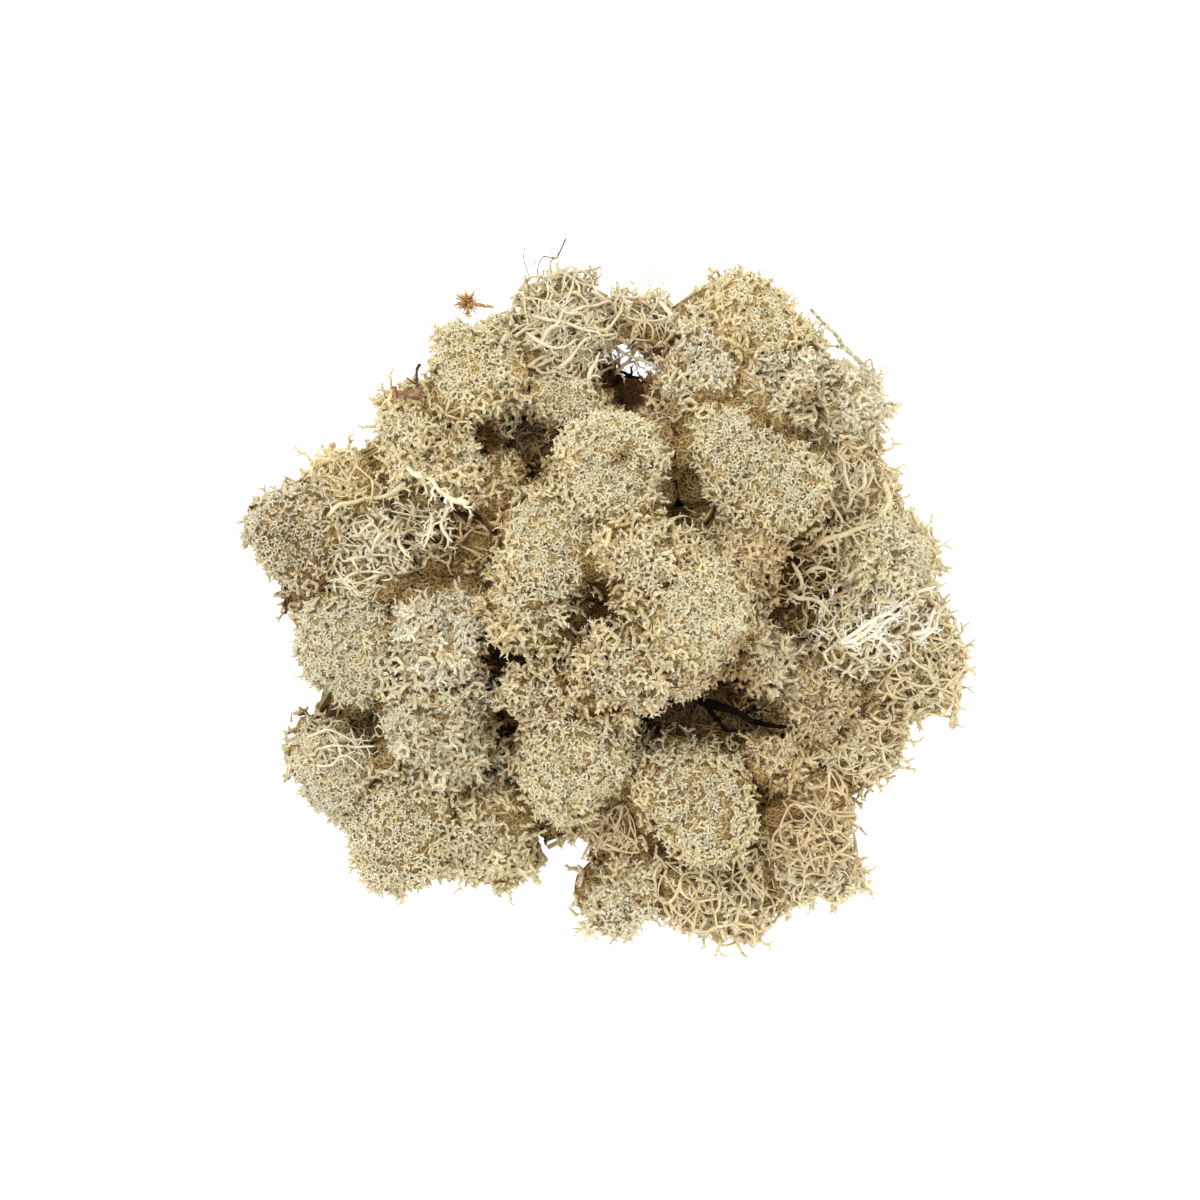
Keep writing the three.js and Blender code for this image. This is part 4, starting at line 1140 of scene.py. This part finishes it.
# each ramp is where it starts and ends and what it gives at both, and colours are for what they name
lichenShades = {
    # brown and dark come in with the depth value, partly the real browning of inner branches and partly
    # painted shade
    "brown": (0.45, 0.305, 0.115), "browningAndShade": (0.1, 0.75, 0.0, 0.85),  # with depth
    "dark": (0.11, 0.052, 0.012), "darkening": (0.55, 1.0),  # deeper still
    # hollow is painted shade between the strands of the shaded middle
    "hollow": (0.50, 0.395, 0.235, 1), "strand": (0.95, 0.88, 0.74, 1),  # of the shaded middle
    "netScale": 640, "netWidth": 0.3,
    "patchScale": 110, "patches": (0.35, 0.65, -0.35, 0.35), "crowns": (0.0, 0.9),
    "grainScale": 900, "grain": (0.3, 0.7, 0.9, 1.07), "tones": (0, 1, 0.93, 1.05),
}
lichenLooks = {
    "cream": {"crown": (0.86, 0.79, 0.56), "flank": (0.84, 0.73, 0.45), "pale": (0.91, 0.89, 0.73)},
    "golden": {"crown": (0.87, 0.785, 0.535), "flank": (0.84, 0.715, 0.42), "pale": (0.92, 0.88, 0.70)},
    "grey": {"crown": (0.79, 0.735, 0.54), "flank": (0.77, 0.69, 0.465), "pale": (0.86, 0.84, 0.70)},
    "tan": {"crown": (0.84, 0.745, 0.51), "flank": (0.81, 0.69, 0.435), "pale": (0.90, 0.85, 0.67)},
    "white": {"crown": (0.86, 0.81, 0.62), "flank": (0.82, 0.735, 0.51), "pale": (0.94, 0.93, 0.85)},
    "umber": {"crown": (0.79, 0.67, 0.44), "flank": (0.73, 0.59, 0.35), "pale": (0.88, 0.81, 0.61)},
    "bright": {"crown": (0.92, 0.86, 0.65), "flank": (0.88, 0.785, 0.53), "pale": (0.97, 0.95, 0.83)},
    # dead is the mats' stems: their own brown made darker still, as painted shade in the hollows that they
    # show through
    "dead": {"crown": (0.17, 0.12, 0.07), "flank": (0.14, 0.10, 0.055), "pale": (0.26, 0.20, 0.13)},
}

# the colour of a branch: crowns are pale and flanks warm, with drifting patches; points pale
# further, and with the depth value everything turns brown and then dark, partly real browning and
# partly painted shade. The shaded middle shows a net of dim strands with painted shade between them
branchColour, given, made = newGroup("branchColour", groupInputs(
    ("Depth", "Tip", "Tone", "Crown", "Under"), ("Crown Colour", "Flank Colour", "Pale", "Brown", "Dark"),
), groupOutputs)
tree = branchColour
patch = ramp(tree, noise(tree, given["Position"], lichenShades["patchScale"]), *lichenShades["patches"])
crown = ramp(tree, maths(tree, "ADD", given["Crown"], patch), *lichenShades["crowns"])
body = mixColour(tree, crown, given["Flank Colour"], given["Crown Colour"])
body = mixColour(tree, ramp(tree, given["Tip"], 0.0, 1.0), body, given["Pale"])
# painted shade with depth, partly the real browning of inner branches
body = mixColour(tree, ramp(tree, given["Depth"], *lichenShades["browningAndShade"]), body, given["Brown"])
body = mixColour(tree, ramp(tree, given["Depth"], *lichenShades["darkening"]), body, given["Dark"])
net = strands(tree, given["Position"], lichenShades["netScale"], lichenShades["netWidth"])
# painted shade between the strands of the shaded middle
hollow = mixColour(tree, 1.0, body, lichenShades["hollow"], "MULTIPLY")
strand = mixColour(tree, 1.0, body, lichenShades["strand"], "MULTIPLY")
inner = mixColour(tree, net, hollow, strand)
body = mixColour(tree, given["Under"], body, inner)
grain = ramp(tree, noise(tree, given["Position"], lichenShades["grainScale"]), *lichenShades["grain"])
toned = ramp(tree, given["Tone"], *lichenShades["tones"])
body = mixColour(tree, 1.0, body, maths(tree, "MULTIPLY", grain, toned), "MULTIPLY")
tree.links.new(body, made["Colour"])
tree.links.new(maths(tree, "MULTIPLY", net, given["Under"]), made["Height"])


# a material whose colour and bump come from a group; values says which attribute feeds which number
def groupMaterial(name, group, values, colours, finish):
    material = bpy.data.materials.new(name)
    material.use_nodes = True
    tree = material.node_tree
    shader = tree.nodes["Principled BSDF"]
    shader.inputs["Roughness"].default_value = finish["roughness"]
    shader.inputs["Specular IOR Level"].default_value = finish["specular"]
    placed = tree.nodes.new("ShaderNodeGroup")
    placed.node_tree = group
    coordinates = tree.nodes.new("ShaderNodeTexCoord")
    tree.links.new(coordinates.outputs["Object"], placed.inputs["Position"])
    for value, socket in values.items():
        attribute = tree.nodes.new("ShaderNodeAttribute")
        attribute.attribute_name = value
        tree.links.new(attribute.outputs["Fac"], placed.inputs[socket])
    for socket, colour in colours.items():
        placed.inputs[socket].default_value = (*colour, 1)
    tree.links.new(placed.outputs["Colour"], shader.inputs["Base Color"])
    bump = tree.nodes.new("ShaderNodeBump")
    bump.inputs["Distance"].default_value = finish["bump"] * mm
    tree.links.new(placed.outputs["Height"], bump.inputs["Height"])
    tree.links.new(bump.outputs["Normal"], shader.inputs["Normal"])
    return material


pointValues = ("depth", "tip", "tone", "crown", "under")


def lichenMaterial(name, look):
    values = {value: value.capitalize() for value in pointValues}
    colours = {
        "Crown Colour": look["crown"], "Flank Colour": look["flank"], "Pale": look["pale"],
        "Brown": lichenShades["brown"], "Dark": lichenShades["dark"],
    }
    return groupMaterial(name, branchColour, values, colours, lichenFinish)


materials = {name: lichenMaterial(f"{name}Lichen", look) for name, look in lichenLooks.items()}
print("lichen looks ready")


def makePiece(name, vertices, faces, values, material):
    mesh = bpy.data.meshes.new(name)
    mesh.vertices.add(len(vertices))
    mesh.vertices.foreach_set("co", (vertices * mm).astype(np.float32).ravel())
    mesh.loops.add(faces.size)
    mesh.loops.foreach_set("vertex_index", faces.astype(np.int32).ravel())
    mesh.polygons.add(len(faces))
    mesh.polygons.foreach_set("loop_start", (np.arange(len(faces)) * 3).astype(np.int32))
    mesh.polygons.foreach_set("use_smooth", np.ones(len(faces), bool))
    for number, valueName in enumerate(pointValues):
        attribute = mesh.attributes.new(valueName, "FLOAT", "POINT")
        attribute.data.foreach_set("value", values[:, number].astype(np.float32))
    mesh.update()
    mesh.validate()
    mesh.materials.append(material)
    piece = linked(name, mesh)
    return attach(piece, "root")


# a route through points, in plan or in space, and the thickness at its start and end, in mm
def route(start, end, *points, **more):
    return {"points": points, "thick": (start, end), **more}


# single long branches that lie over a head. depth is how dark they are and pale how much paler than
# the head, lift raises them and level puts them at one height, and bare is where side branches start
longBranches = {
    "right_8": [
        route(1.7, 0.8, (57, -19), (60.8, -12.6), (67, -10.8), (72, -6.5), (77, -2.7), (82, 0.6), (88, 3),
              pale=0.42),
        route(1.7, 0.8, (78.6, -10.5), (84, -9.5), (86.4, -7), (88.3, -3.6), (89.2, 0.5), pale=0.42),
        route(1.4, 0.7, (57.5, -20.5), (62, -14), (68, -12.3), (73, -8.3), (78, -4.4), (83, -1.4),
              pale=0.42),
        route(1.4, 0.7, (59, -16.5), (62.8, -11), (68, -8.6), (73, -4.6), (78.5, -1), pale=0.42),
        route(1.2, 0.7, (80, -12), (85, -11), (88, -7), (89.6, -3), pale=0.42),
        route(1.5, 0.7, (56.5, -7), (57.5, -3.5), (60, -0.3), (60.6, 3.2), pale=0.38),
        route(1.4, 0.7, (67, -10.8), (71.5, -10.6), (74.5, -12.5), (77.5, -16), pale=0.38),
        route(1.5, 0.6, (60.8, -12.6), (57.6, -10), (55.5, -8.8), (53.5, -10), pale=0.42),
        route(1.5, 0.6, (72, -6.5), (72.4, -2.5), (75, 0.3), (75.4, 3.8), pale=0.42),
    ],
    "right_5": [
        route(1.4, 0.9, (58, 31), (59.7, 25.7), (62.6, 20.8), (61.8, 17.3)),
        route(1.5, 0.7, (62.9, 20.5), (64.8, 26), (68.5, 30), (69, 36)),
        route(1.3, 0.8, (59.5, 40), (63, 37), (64, 31), (66.5, 27.5)),
    ],
    "right_6": [
        route(1.9, 1.5, (48.5, 9.5), (54.3, 14), (59.7, 15.7), (68, 18.4), (72.4, 20.8), (75.4, 26.2),
              (74.5, 31.6)),
        route(1.8, 0.9, (46, 3), (51, -0.5), (56, -1), (60, -5)),
        route(1.5, 1.0, (51, -0.5), (51.5, 5), (49, 9.5)),
        route(1.5, 0.8, (51.5, 5), (56, 7.5), (61, 7)),
    ],
    "top_5": [
        route(1.1, 1.7, (-78, 21.5), (-75.6, 23.2), (-69.4, 26), (-62.9, 26.7), (-58.6, 28.6),
              (-55.4, 31)),
    ],
    "left_6": [
        route(0.9, 0.6, (-84, -39), (-77, -36), (-71, -38), (-66, -43), pale=0.3),
        route(0.9, 0.55, (-82, -42.5), (-75, -40), (-68, -41), (-63.5, -40), pale=0.3),
        route(0.9, 0.55, (-79, -34.5), (-74, -39), (-71.5, -46), pale=0.3),
        route(0.9, 0.55, (-71, -34), (-69, -39), (-65, -45), pale=0.3),
        route(0.8, 0.5, (-84, -45), (-77, -45.5), (-71, -43), (-66, -47), pale=0.2),
    ],
    "left_9": [
        route(1.5, 1.6, (-56.7, 38.9), (-53.2, 33.5), (-48.9, 32.6), (-45.9, 28.6), (-42.1, 26.4),
              (-37.5, 24.6)),
        route(1.7, 0.8, (-43.8, 27), (-44.6, 22), (-45.4, 18.6), (-42.4, 14.5)),
        route(1.3, 0.6, (-45.4, 18.6), (-50, 16.5), (-53, 17.5)),
        route(1.3, 0.7, (-49, 25), (-48.3, 19), (-50.6, 12.5)),
        route(1.2, 0.7, (-57.2, 21), (-56.9, 14), (-53, 9.5)),
    ],
    "top_6": [
        route(1.5, 0.7, (-28, 77), (-19, 75.4), (-10, 73.2), (-3, 71.2), depth=0.3),
        route(1.5, 0.7, (-17, 59.5), (-10.5, 64.6), (-7, 69.2), (2, 71.4), depth=0.3),
        route(1.6, 0.9, (-30, 67), (-28, 72), (-29.5, 76.5), depth=0.3),
        route(1.5, 0.9, (-7, 55.4), (-5, 61.3), (-2.6, 66), depth=0.3),
        route(1.4, 0.7, (-22.5, 65), (-17.8, 70), (-13.6, 74.2), (-12, 79), depth=0.3),
        route(1.3, 0.7, (-24, 72.5), (-19, 69), (-14, 67.5), (-8.5, 69.5), depth=0.3),
        route(0.9, 0.5, (-5.5, 80), (-4.6, 84), (-3.6, 89), level=25, depth=0.95),
        route(0.9, 0.5, (-9, 80), (-8, 84), (-8.4, 87), level=25, depth=0.8),
    ],
    "top_7": [
        route(1.3, 0.8, (-2, 58.5), (3, 61.5), (6, 66), (9.5, 70), depth=0.62, lift=-5),
        route(1.0, 0.8, (0, 68.5), (4, 66), (9, 64.5), (14, 61), depth=0.55, lift=-4),
        route(1.7, 1.3, (19, 70.7), (18.9, 74.5), (17, 76.1), (13.5, 80.2), depth=0.35),
        route(1, 0.5, (13.9, 79), (14, 82.7), (14.6, 85.5), (14.6, 87.4), level=22, bare=9),
        route(0.7, 0.5, (13.9, 82.6), (12.4, 83.5), (11, 83.4), (11, 86), level=22, bare=9),
        route(1.3, 0.6, (19, 73), (21.6, 76), (23.4, 78.6), (23.2, 81), level=23, bare=9),
        route(0.8, 0.5, (23.4, 78), (25.2, 78.8), (25.8, 81), level=23, bare=5),
    ],
}


# a smooth curve through a route's points: each span runs from point to point along the slopes that
# their neighbours give, a = (1 + 2u)(1 - u)^2 and b = u^2 (3 - 2u) being the shares of its two ends
def smoothRoute(points, steps=4):
    places = np.array(points, float)
    slopes = np.gradient(places, axis=0) if len(places) > 2 else np.repeat(np.diff(places, axis=0), 2, axis=0)
    t = np.linspace(0, len(places) - 1, steps * (len(places) - 1) + 1)
    i = np.minimum(t.astype(int), len(places) - 2)
    u = (t - i)[:, None]
    curve = ((1 + 2 * u) * (1 - u) ** 2 * places[i] + u * (1 - u) ** 2 * slopes[i]
             + u**2 * (3 - 2 * u) * places[i + 1] + u**2 * (u - 1) * slopes[i + 1])
    return curve, t / (len(places) - 1)


lay = {
    "dip": 7, "dipLength": 0.3, "dipPower": 1.5, "smooth": 4, "sink": 0.2,  # what shapes its height
    "depth": 0.2, "crown": 0.6, "tip": 0.3, "tone": (0.4, 0.1, 4),  # tones from the first, by steps
    "wobble": 0.5, "wobbleWay": (0.6, -0.8), "wave": (0.14, 9), "root": 0.4, "swell": 4, "end": 0.45,
    "bare": 2, "every": 2, "side": 0.72, "long": 3.6, "ahead": 0.8, "lean": (0.6, 1.0),  # side branches
}


# long branches follow the top of the melted heads, wobbling a little in plan. Their root dips under
# it, and from every second ring a side branch turns off along the surface, left and right in turn
def layBranches(routes, order):
    draw = np.random.default_rng(form["seed"] + 500 + order)
    parts = []
    for number, branch in enumerate(routes):
        plan, t = smoothRoute(branch["points"])
        wobble = lay["wobble"] * ripple(np.insert(plan, 2, number, axis=1), wobbleWaves)[:, None]
        plan = plan + wobble * lay["wobbleWay"]
        height = np.full(len(plan), float(branch["level"])) if "level" in branch else topAt(plan)
        window = 2 * lay["smooth"] + 1
        smooth = np.convolve(np.pad(height, lay["smooth"], mode="edge"), np.ones(window) / window, "valid")
        dip = np.clip(1 - t / lay["dipLength"], 0, 1) ** lay["dipPower"]
        smooth = smooth - lay["dip"] * dip + branch.get("lift", 0)
        thick = np.interp(t, [0, 1], branch["thick"])
        size, often = lay["wave"]
        radii = thick * (1 + size * np.sin(often * t + number)) / 2
        radii = radii * np.clip(lay["root"] + lay["swell"] * t, 0, 1)
        radii[-1] *= lay["end"]
        path = np.column_stack([plan, smooth - thick * lay["sink"]])
        least, step, kinds = lay["tone"]
        tone, crown = least + step * (number % kinds), lay["crown"]
        depth = branch.get("depth", lay["depth"])
        line = (path[None], radii[None], depth, [tone], [crown])
        grownNow = [roundBranches(*line, sides=6, tip=lay["tip"])]
        places = np.arange(branch.get("bare", lay["bare"]), len(path) - 1, lay["every"])
        along = unit(path[places + 1] - path[places])
        up = np.tile([0, 0, 1.0], (len(places), 1))
        turnTo = np.where(np.arange(len(places)) % 2, 1, -1)[:, None]
        lean = np.cross(up, along) * turnTo * draw.uniform(*lay["lean"], (len(places), 1))
        ways = unit(along * lay["ahead"] + lean)
        size = thick[places] * lay["side"]
        ones = np.ones(len(places))
        values = (depth, tone * ones, crown * ones)
        grownNow += antlers(path[places], ways, up, lay["long"], size, *values, draw)
        for piece in grownNow:
            piece[2][:, 1] = np.maximum(piece[2][:, 1], branch.get("pale", 0))
        parts += grownNow
    return parts


# loose bits caught in the clump: each has its slot, the colours of its root and end, how rough it is
# and its stems. Needles stand out all along the stems, and a burst is a ball of them
looseBits = {
    "black_twig": {
        "slot": "twig_black", "root": (0.005, 0.003, 0.003), "end": (0.012, 0.008, 0.006), "rough": 0.16,
        "stems": [
            route(2.6, 1.8, (24, -28, 38), (29.5, -29.6, 37.5), (34, -31, 37), (38.5, -33.8, 36)),
            route(1.6, 0.9, (38, -33.5, 36.1), (44.5, -34.9, 36), (47.8, -35, 35.5)),
            route(1.6, 0.8, (25, -28.5, 38), (29.5, -33.8, 36), (31.6, -36, 35), (34.3, -36, 35)),
            route(0.8, 0.4, (36, -32, 36.7), (38, -30.6, 37.2), (41, -30.2, 37.4)),
        ],
    },
    "green_twig": {
        "slot": "twig_green", "root": (0.74, 0.7, 0.48), "end": (0.66, 0.57, 0.37), "rough": 0.1,
        "stems": [
            route(0.9, 1.3, (54, 77.8, 39), (57.5, 73.9, 40), (60.5, 71, 40), (62.9, 67.5, 39)),
            route(1.3, 1.7, (62.8, 67.8, 39.1), (67.5, 63.2, 37), (68.8, 59.9, 35.8), (70.5, 57.4, 35.1)),
            route(0.8, 0.4, (57.6, 73.8, 40), (56.2, 72.4, 40), (58.3, 68.9, 39)),
            route(0.8, 0.4, (63.7, 66.7, 39), (61, 67.6, 38.2), (58.8, 67.8, 37)),
            route(0.7, 0.4, (68, 62.4, 36.8), (70.2, 64, 38), (71, 59.8, 38)),
        ],
        "knots": {"count": 5, "thick": 1.7},
    },
    "rusty_shoot": {
        "slot": "rusty", "root": (0.72, 0.38, 0.14), "end": (0.95, 0.66, 0.36), "rough": 0.1,
        "stems": [
            route(1.3, 0.8, (-38.6, 79.5, 34), (-34.8, 78.8, 33.4), (-31.4, 78.3, 32.8)),
            route(1.2, 0.7, (-38.6, 79.5, 34), (-38.4, 77.4, 34.4), (-37.8, 75.2, 34.6)),
        ],
        "needles": {"count": 90, "long": 1.7, "thick": 0.42},
        "burst": {"at": (-38.6, 79.5, 34), "reach": 6.6, "thick": 0.5, "count": 110},
    },
    "bark_stub": {
        "slot": "bark_brown", "root": (0.33, 0.185, 0.105), "end": (0.46, 0.28, 0.16), "rough": 0.2,
        "stems": [
            route(2.1, 2.4, (-58.6, 54.6, 37.6), (-54.5, 54.8, 37.9), (-50.4, 55.4, 37.6)),
            route(1.3, 1.4, (-58, 57, 38.4), (-58.1, 55, 38.4), (-57.9, 53.2, 38)),
        ],
    },
    "dark_stem": {
        "slot": "twig_black", "root": (0.06, 0.045, 0.035), "end": (0.13, 0.09, 0.06), "rough": 0.12,
        "stems": [
            route(0.9, 0.8, (-51.2, 62.8, 38.4), (-52.1, 61, 38.9), (-52, 56.6, 39.3)),
            route(0.7, 0.4, (-52.1, 57.4, 39.3), (-53.5, 58, 39.4), (-54.8, 59.2, 39.3)),
        ],
    },
    "hooked_thread": {
        "slot": "twig_black", "root": (0.62, 0.6, 0.54), "end": (0.05, 0.05, 0.055), "rough": 0.0,
        "stems": [
            route(0.4, 0.42, (-19.5, 85, 28), (-19.6, 88.6, 28.2), (-18.8, 91.2, 28.6),
                  (-17.7, 92.2, 28.6), (-14.7, 91.7, 29), (-13.6, 93.4, 29), (-11.9, 97.2, 29)),
            route(0.35, 0.2, (-21.3, 85, 28), (-22.5, 88.6, 28), (-23.4, 92, 28), (-23, 95, 28)),
            route(0.3, 0.18, (-22.6, 89, 28), (-20.6, 90.2, 28.2), (-19.9, 91.6, 28.4)),
        ],
    },
}

loose = {
    "steps": 7, "sides": 9, "end": 0.55, "wobble": 1.2, "wobbleWay": (0.3, 0.5, 0.4),
    "stretch": (1, 1.3, 0.8),  # of the waves that the wobble comes from
    "knotLong": 0.6, "knotThick": 0.9, "knotTone": 0.2,
    "needleLong": (0.6, 1.2), "needleTips": (0.2, 0.2, 0.2, 1),  # at its root's corners and its end
    "burstJitter": 0.12, "burstFrom": 0.2, "burstLong": (0.2, 0.9), "burstBend": 0.25,
    "burstWaist": 0.8, "burstTips": (0, 0.4, 1),  # at the root, the elbow and the end
}


# a stem is a round profile carried along its curve, its radius roughened at random; the tip value
# runs from 0 at its first point to 1 at its last and mixes the two colours
def looseBit(bit, order):
    draw = np.random.default_rng(form["seed"] + 800 + order)
    parts, allPaths = [], []
    for line in bit["stems"]:
        path, t = smoothRoute(line["points"], loose["steps"])
        wobble = bit["rough"] * loose["wobble"] * ripple(path * loose["stretch"], knobWaves)[:, None]
        path = path + wobble * loose["wobbleWay"]
        radii = np.interp(t, [0, 1], line["thick"]) * (1 + bit["rough"] * draw.normal(0, 1, len(t))) / 2
        radii[[0, -1]] *= loose["end"]
        planes = unit(np.cross(path[-1:] - path[:1], skew))
        sides = loose["sides"]
        shape = tubes(path[None], radii[None], planes, sides)
        parts.append(part(shape, tip=t.repeat(sides), tone=draw.uniform(0, 1, len(t)).repeat(sides)))
        allPaths.append(path[1:-1])
    paths = np.concatenate(allPaths)
    if "knots" in bit:
        knots = bit["knots"]
        picked = np.linspace(1, len(paths) - 2, knots["count"]).astype(int)
        ways = unit(paths[picked + 1] - paths[picked - 1]) * knots["thick"] * loose["knotLong"]
        for sign in (1, -1):
            shape = spikes(paths[picked], paths[picked] + ways * sign, knots["thick"] * loose["knotThick"])
            parts.append(part(shape, tip=1.0, tone=loose["knotTone"]))
    if "needles" in bit:
        needles = bit["needles"]
        count = needles["count"]
        picked = draw.integers(0, len(paths), count)
        ways = unit(draw.normal(size=(count, 3)))
        ends = paths[picked] + ways * needles["long"] * draw.uniform(*loose["needleLong"], (count, 1))
        shape = spikes(paths[picked], ends, needles["thick"])
        parts.append(part(shape, tip=np.tile(loose["needleTips"], count)))
    if "burst" in bit:
        burst = bit["burst"]
        count = burst["count"]
        ways = unit(goldenDirections(count) + draw.normal(0, loose["burstJitter"], (count, 3)))
        starts = np.tile(burst["at"], (count, 1)) + ways * loose["burstFrom"]
        ends = starts + ways * burst["reach"] * draw.uniform(*loose["burstLong"], (count, 1))
        elbows = (starts + ends) / 2 + draw.normal(0, loose["burstBend"], starts.shape)
        shape = (starts, elbows, ends, burst["thick"], loose["burstWaist"])
        parts.append(bentParts(*shape, (0, 0, 0), loose["burstTips"], [0.5] * count, [0.0] * count))
    return joined(parts)


barkFinish = {"roughness": 0.9, "specular": 0.02, "bump": 0.3}
barkShades = {
    "fleckScale": 1400, "fleckDetail": 4, "flecks": (0.35, 0.7, 0.8, 1.2),
    "crackScale": 700, "crackDetail": 3, "cracks": (0.42, 0.56, 0.6, 1.0), "tones": (0, 1, 0.8, 1.2),
}

# bark: two colours mixed along the stem, fine flecks and darker cracks that stand low
barkColour, given, made = newGroup(
    "barkColour", groupInputs(("Along", "Tone"), ("Root Colour", "End Colour")), groupOutputs,
)
tree = barkColour
flecks = noise(tree, given["Position"], barkShades["fleckScale"], barkShades["fleckDetail"])
flecks = ramp(tree, flecks, *barkShades["flecks"])
cracks = noise(tree, given["Position"], barkShades["crackScale"], barkShades["crackDetail"])
cracks = ramp(tree, cracks, *barkShades["cracks"])
body = mixColour(tree, given["Along"], given["Root Colour"], given["End Colour"])
body = mixColour(tree, 1.0, body, maths(tree, "MULTIPLY", flecks, cracks), "MULTIPLY")
toned = ramp(tree, given["Tone"], *barkShades["tones"])
tree.links.new(mixColour(tree, 1.0, body, toned, "MULTIPLY"), made["Colour"])
tree.links.new(maths(tree, "MULTIPLY", flecks, cracks), made["Height"])


def barkMaterial(name, bit):
    colours = {"Root Colour": bit["root"], "End Colour": bit["end"]}
    return groupMaterial(name, barkColour, {"tip": "Along", "tone": "Tone"}, colours, barkFinish)


total = 0
for order, (name, bit) in enumerate(looseBits.items()):
    piece = makePiece(f"{name}_fine", *looseBit(bit, order), barkMaterial(f"{name}Bark", bit))
    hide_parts(name)
    total += len(piece.data.polygons)
    print(name, len(piece.data.polygons), "triangles")

for order, cell in enumerate(grown):
    name = cell["name"]
    isMat = cell["habit"] == "dead"
    grownParts = growCell(cell, order)
    if name in longBranches:
        grownParts = joined([grownParts, *layBranches(longBranches[name], order)])
    piece = makePiece(f"{name}_branches", *grownParts, materials[cell.get("look", cell["colour"])])
    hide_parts(name if isMat else f"head_{name}")
    total += len(piece.data.polygons)
    print(name, len(piece.data.polygons), "triangles")
print("whole clump", total, "triangles")

floorLook = {"half": 3000, "colour": (0.6, 0.6, 0.6), "roughness": 0.9, "glow": 1.0}

floorMesh = bpy.data.meshes.new("floor")
half = floorLook["half"] * mm
floorCorners = [(-half, -half, 0), (half, -half, 0), (half, half, 0), (-half, half, 0)]
floorMesh.from_pydata(floorCorners, [], [(0, 1, 2, 3)])
floor = linked("floor", floorMesh)
floorMaterial = bpy.data.materials.new("floorPaint")
floorMaterial.use_nodes = True
paint = floorMaterial.node_tree.nodes["Principled BSDF"]
paint.inputs["Base Color"].default_value = (*floorLook["colour"], 1)
paint.inputs["Roughness"].default_value = floorLook["roughness"]
paint.inputs["Emission Color"].default_value = (1, 1, 1, 1)
paint.inputs["Emission Strength"].default_value = floorLook["glow"]
floorMesh.materials.append(floorMaterial)
print("floor ready")
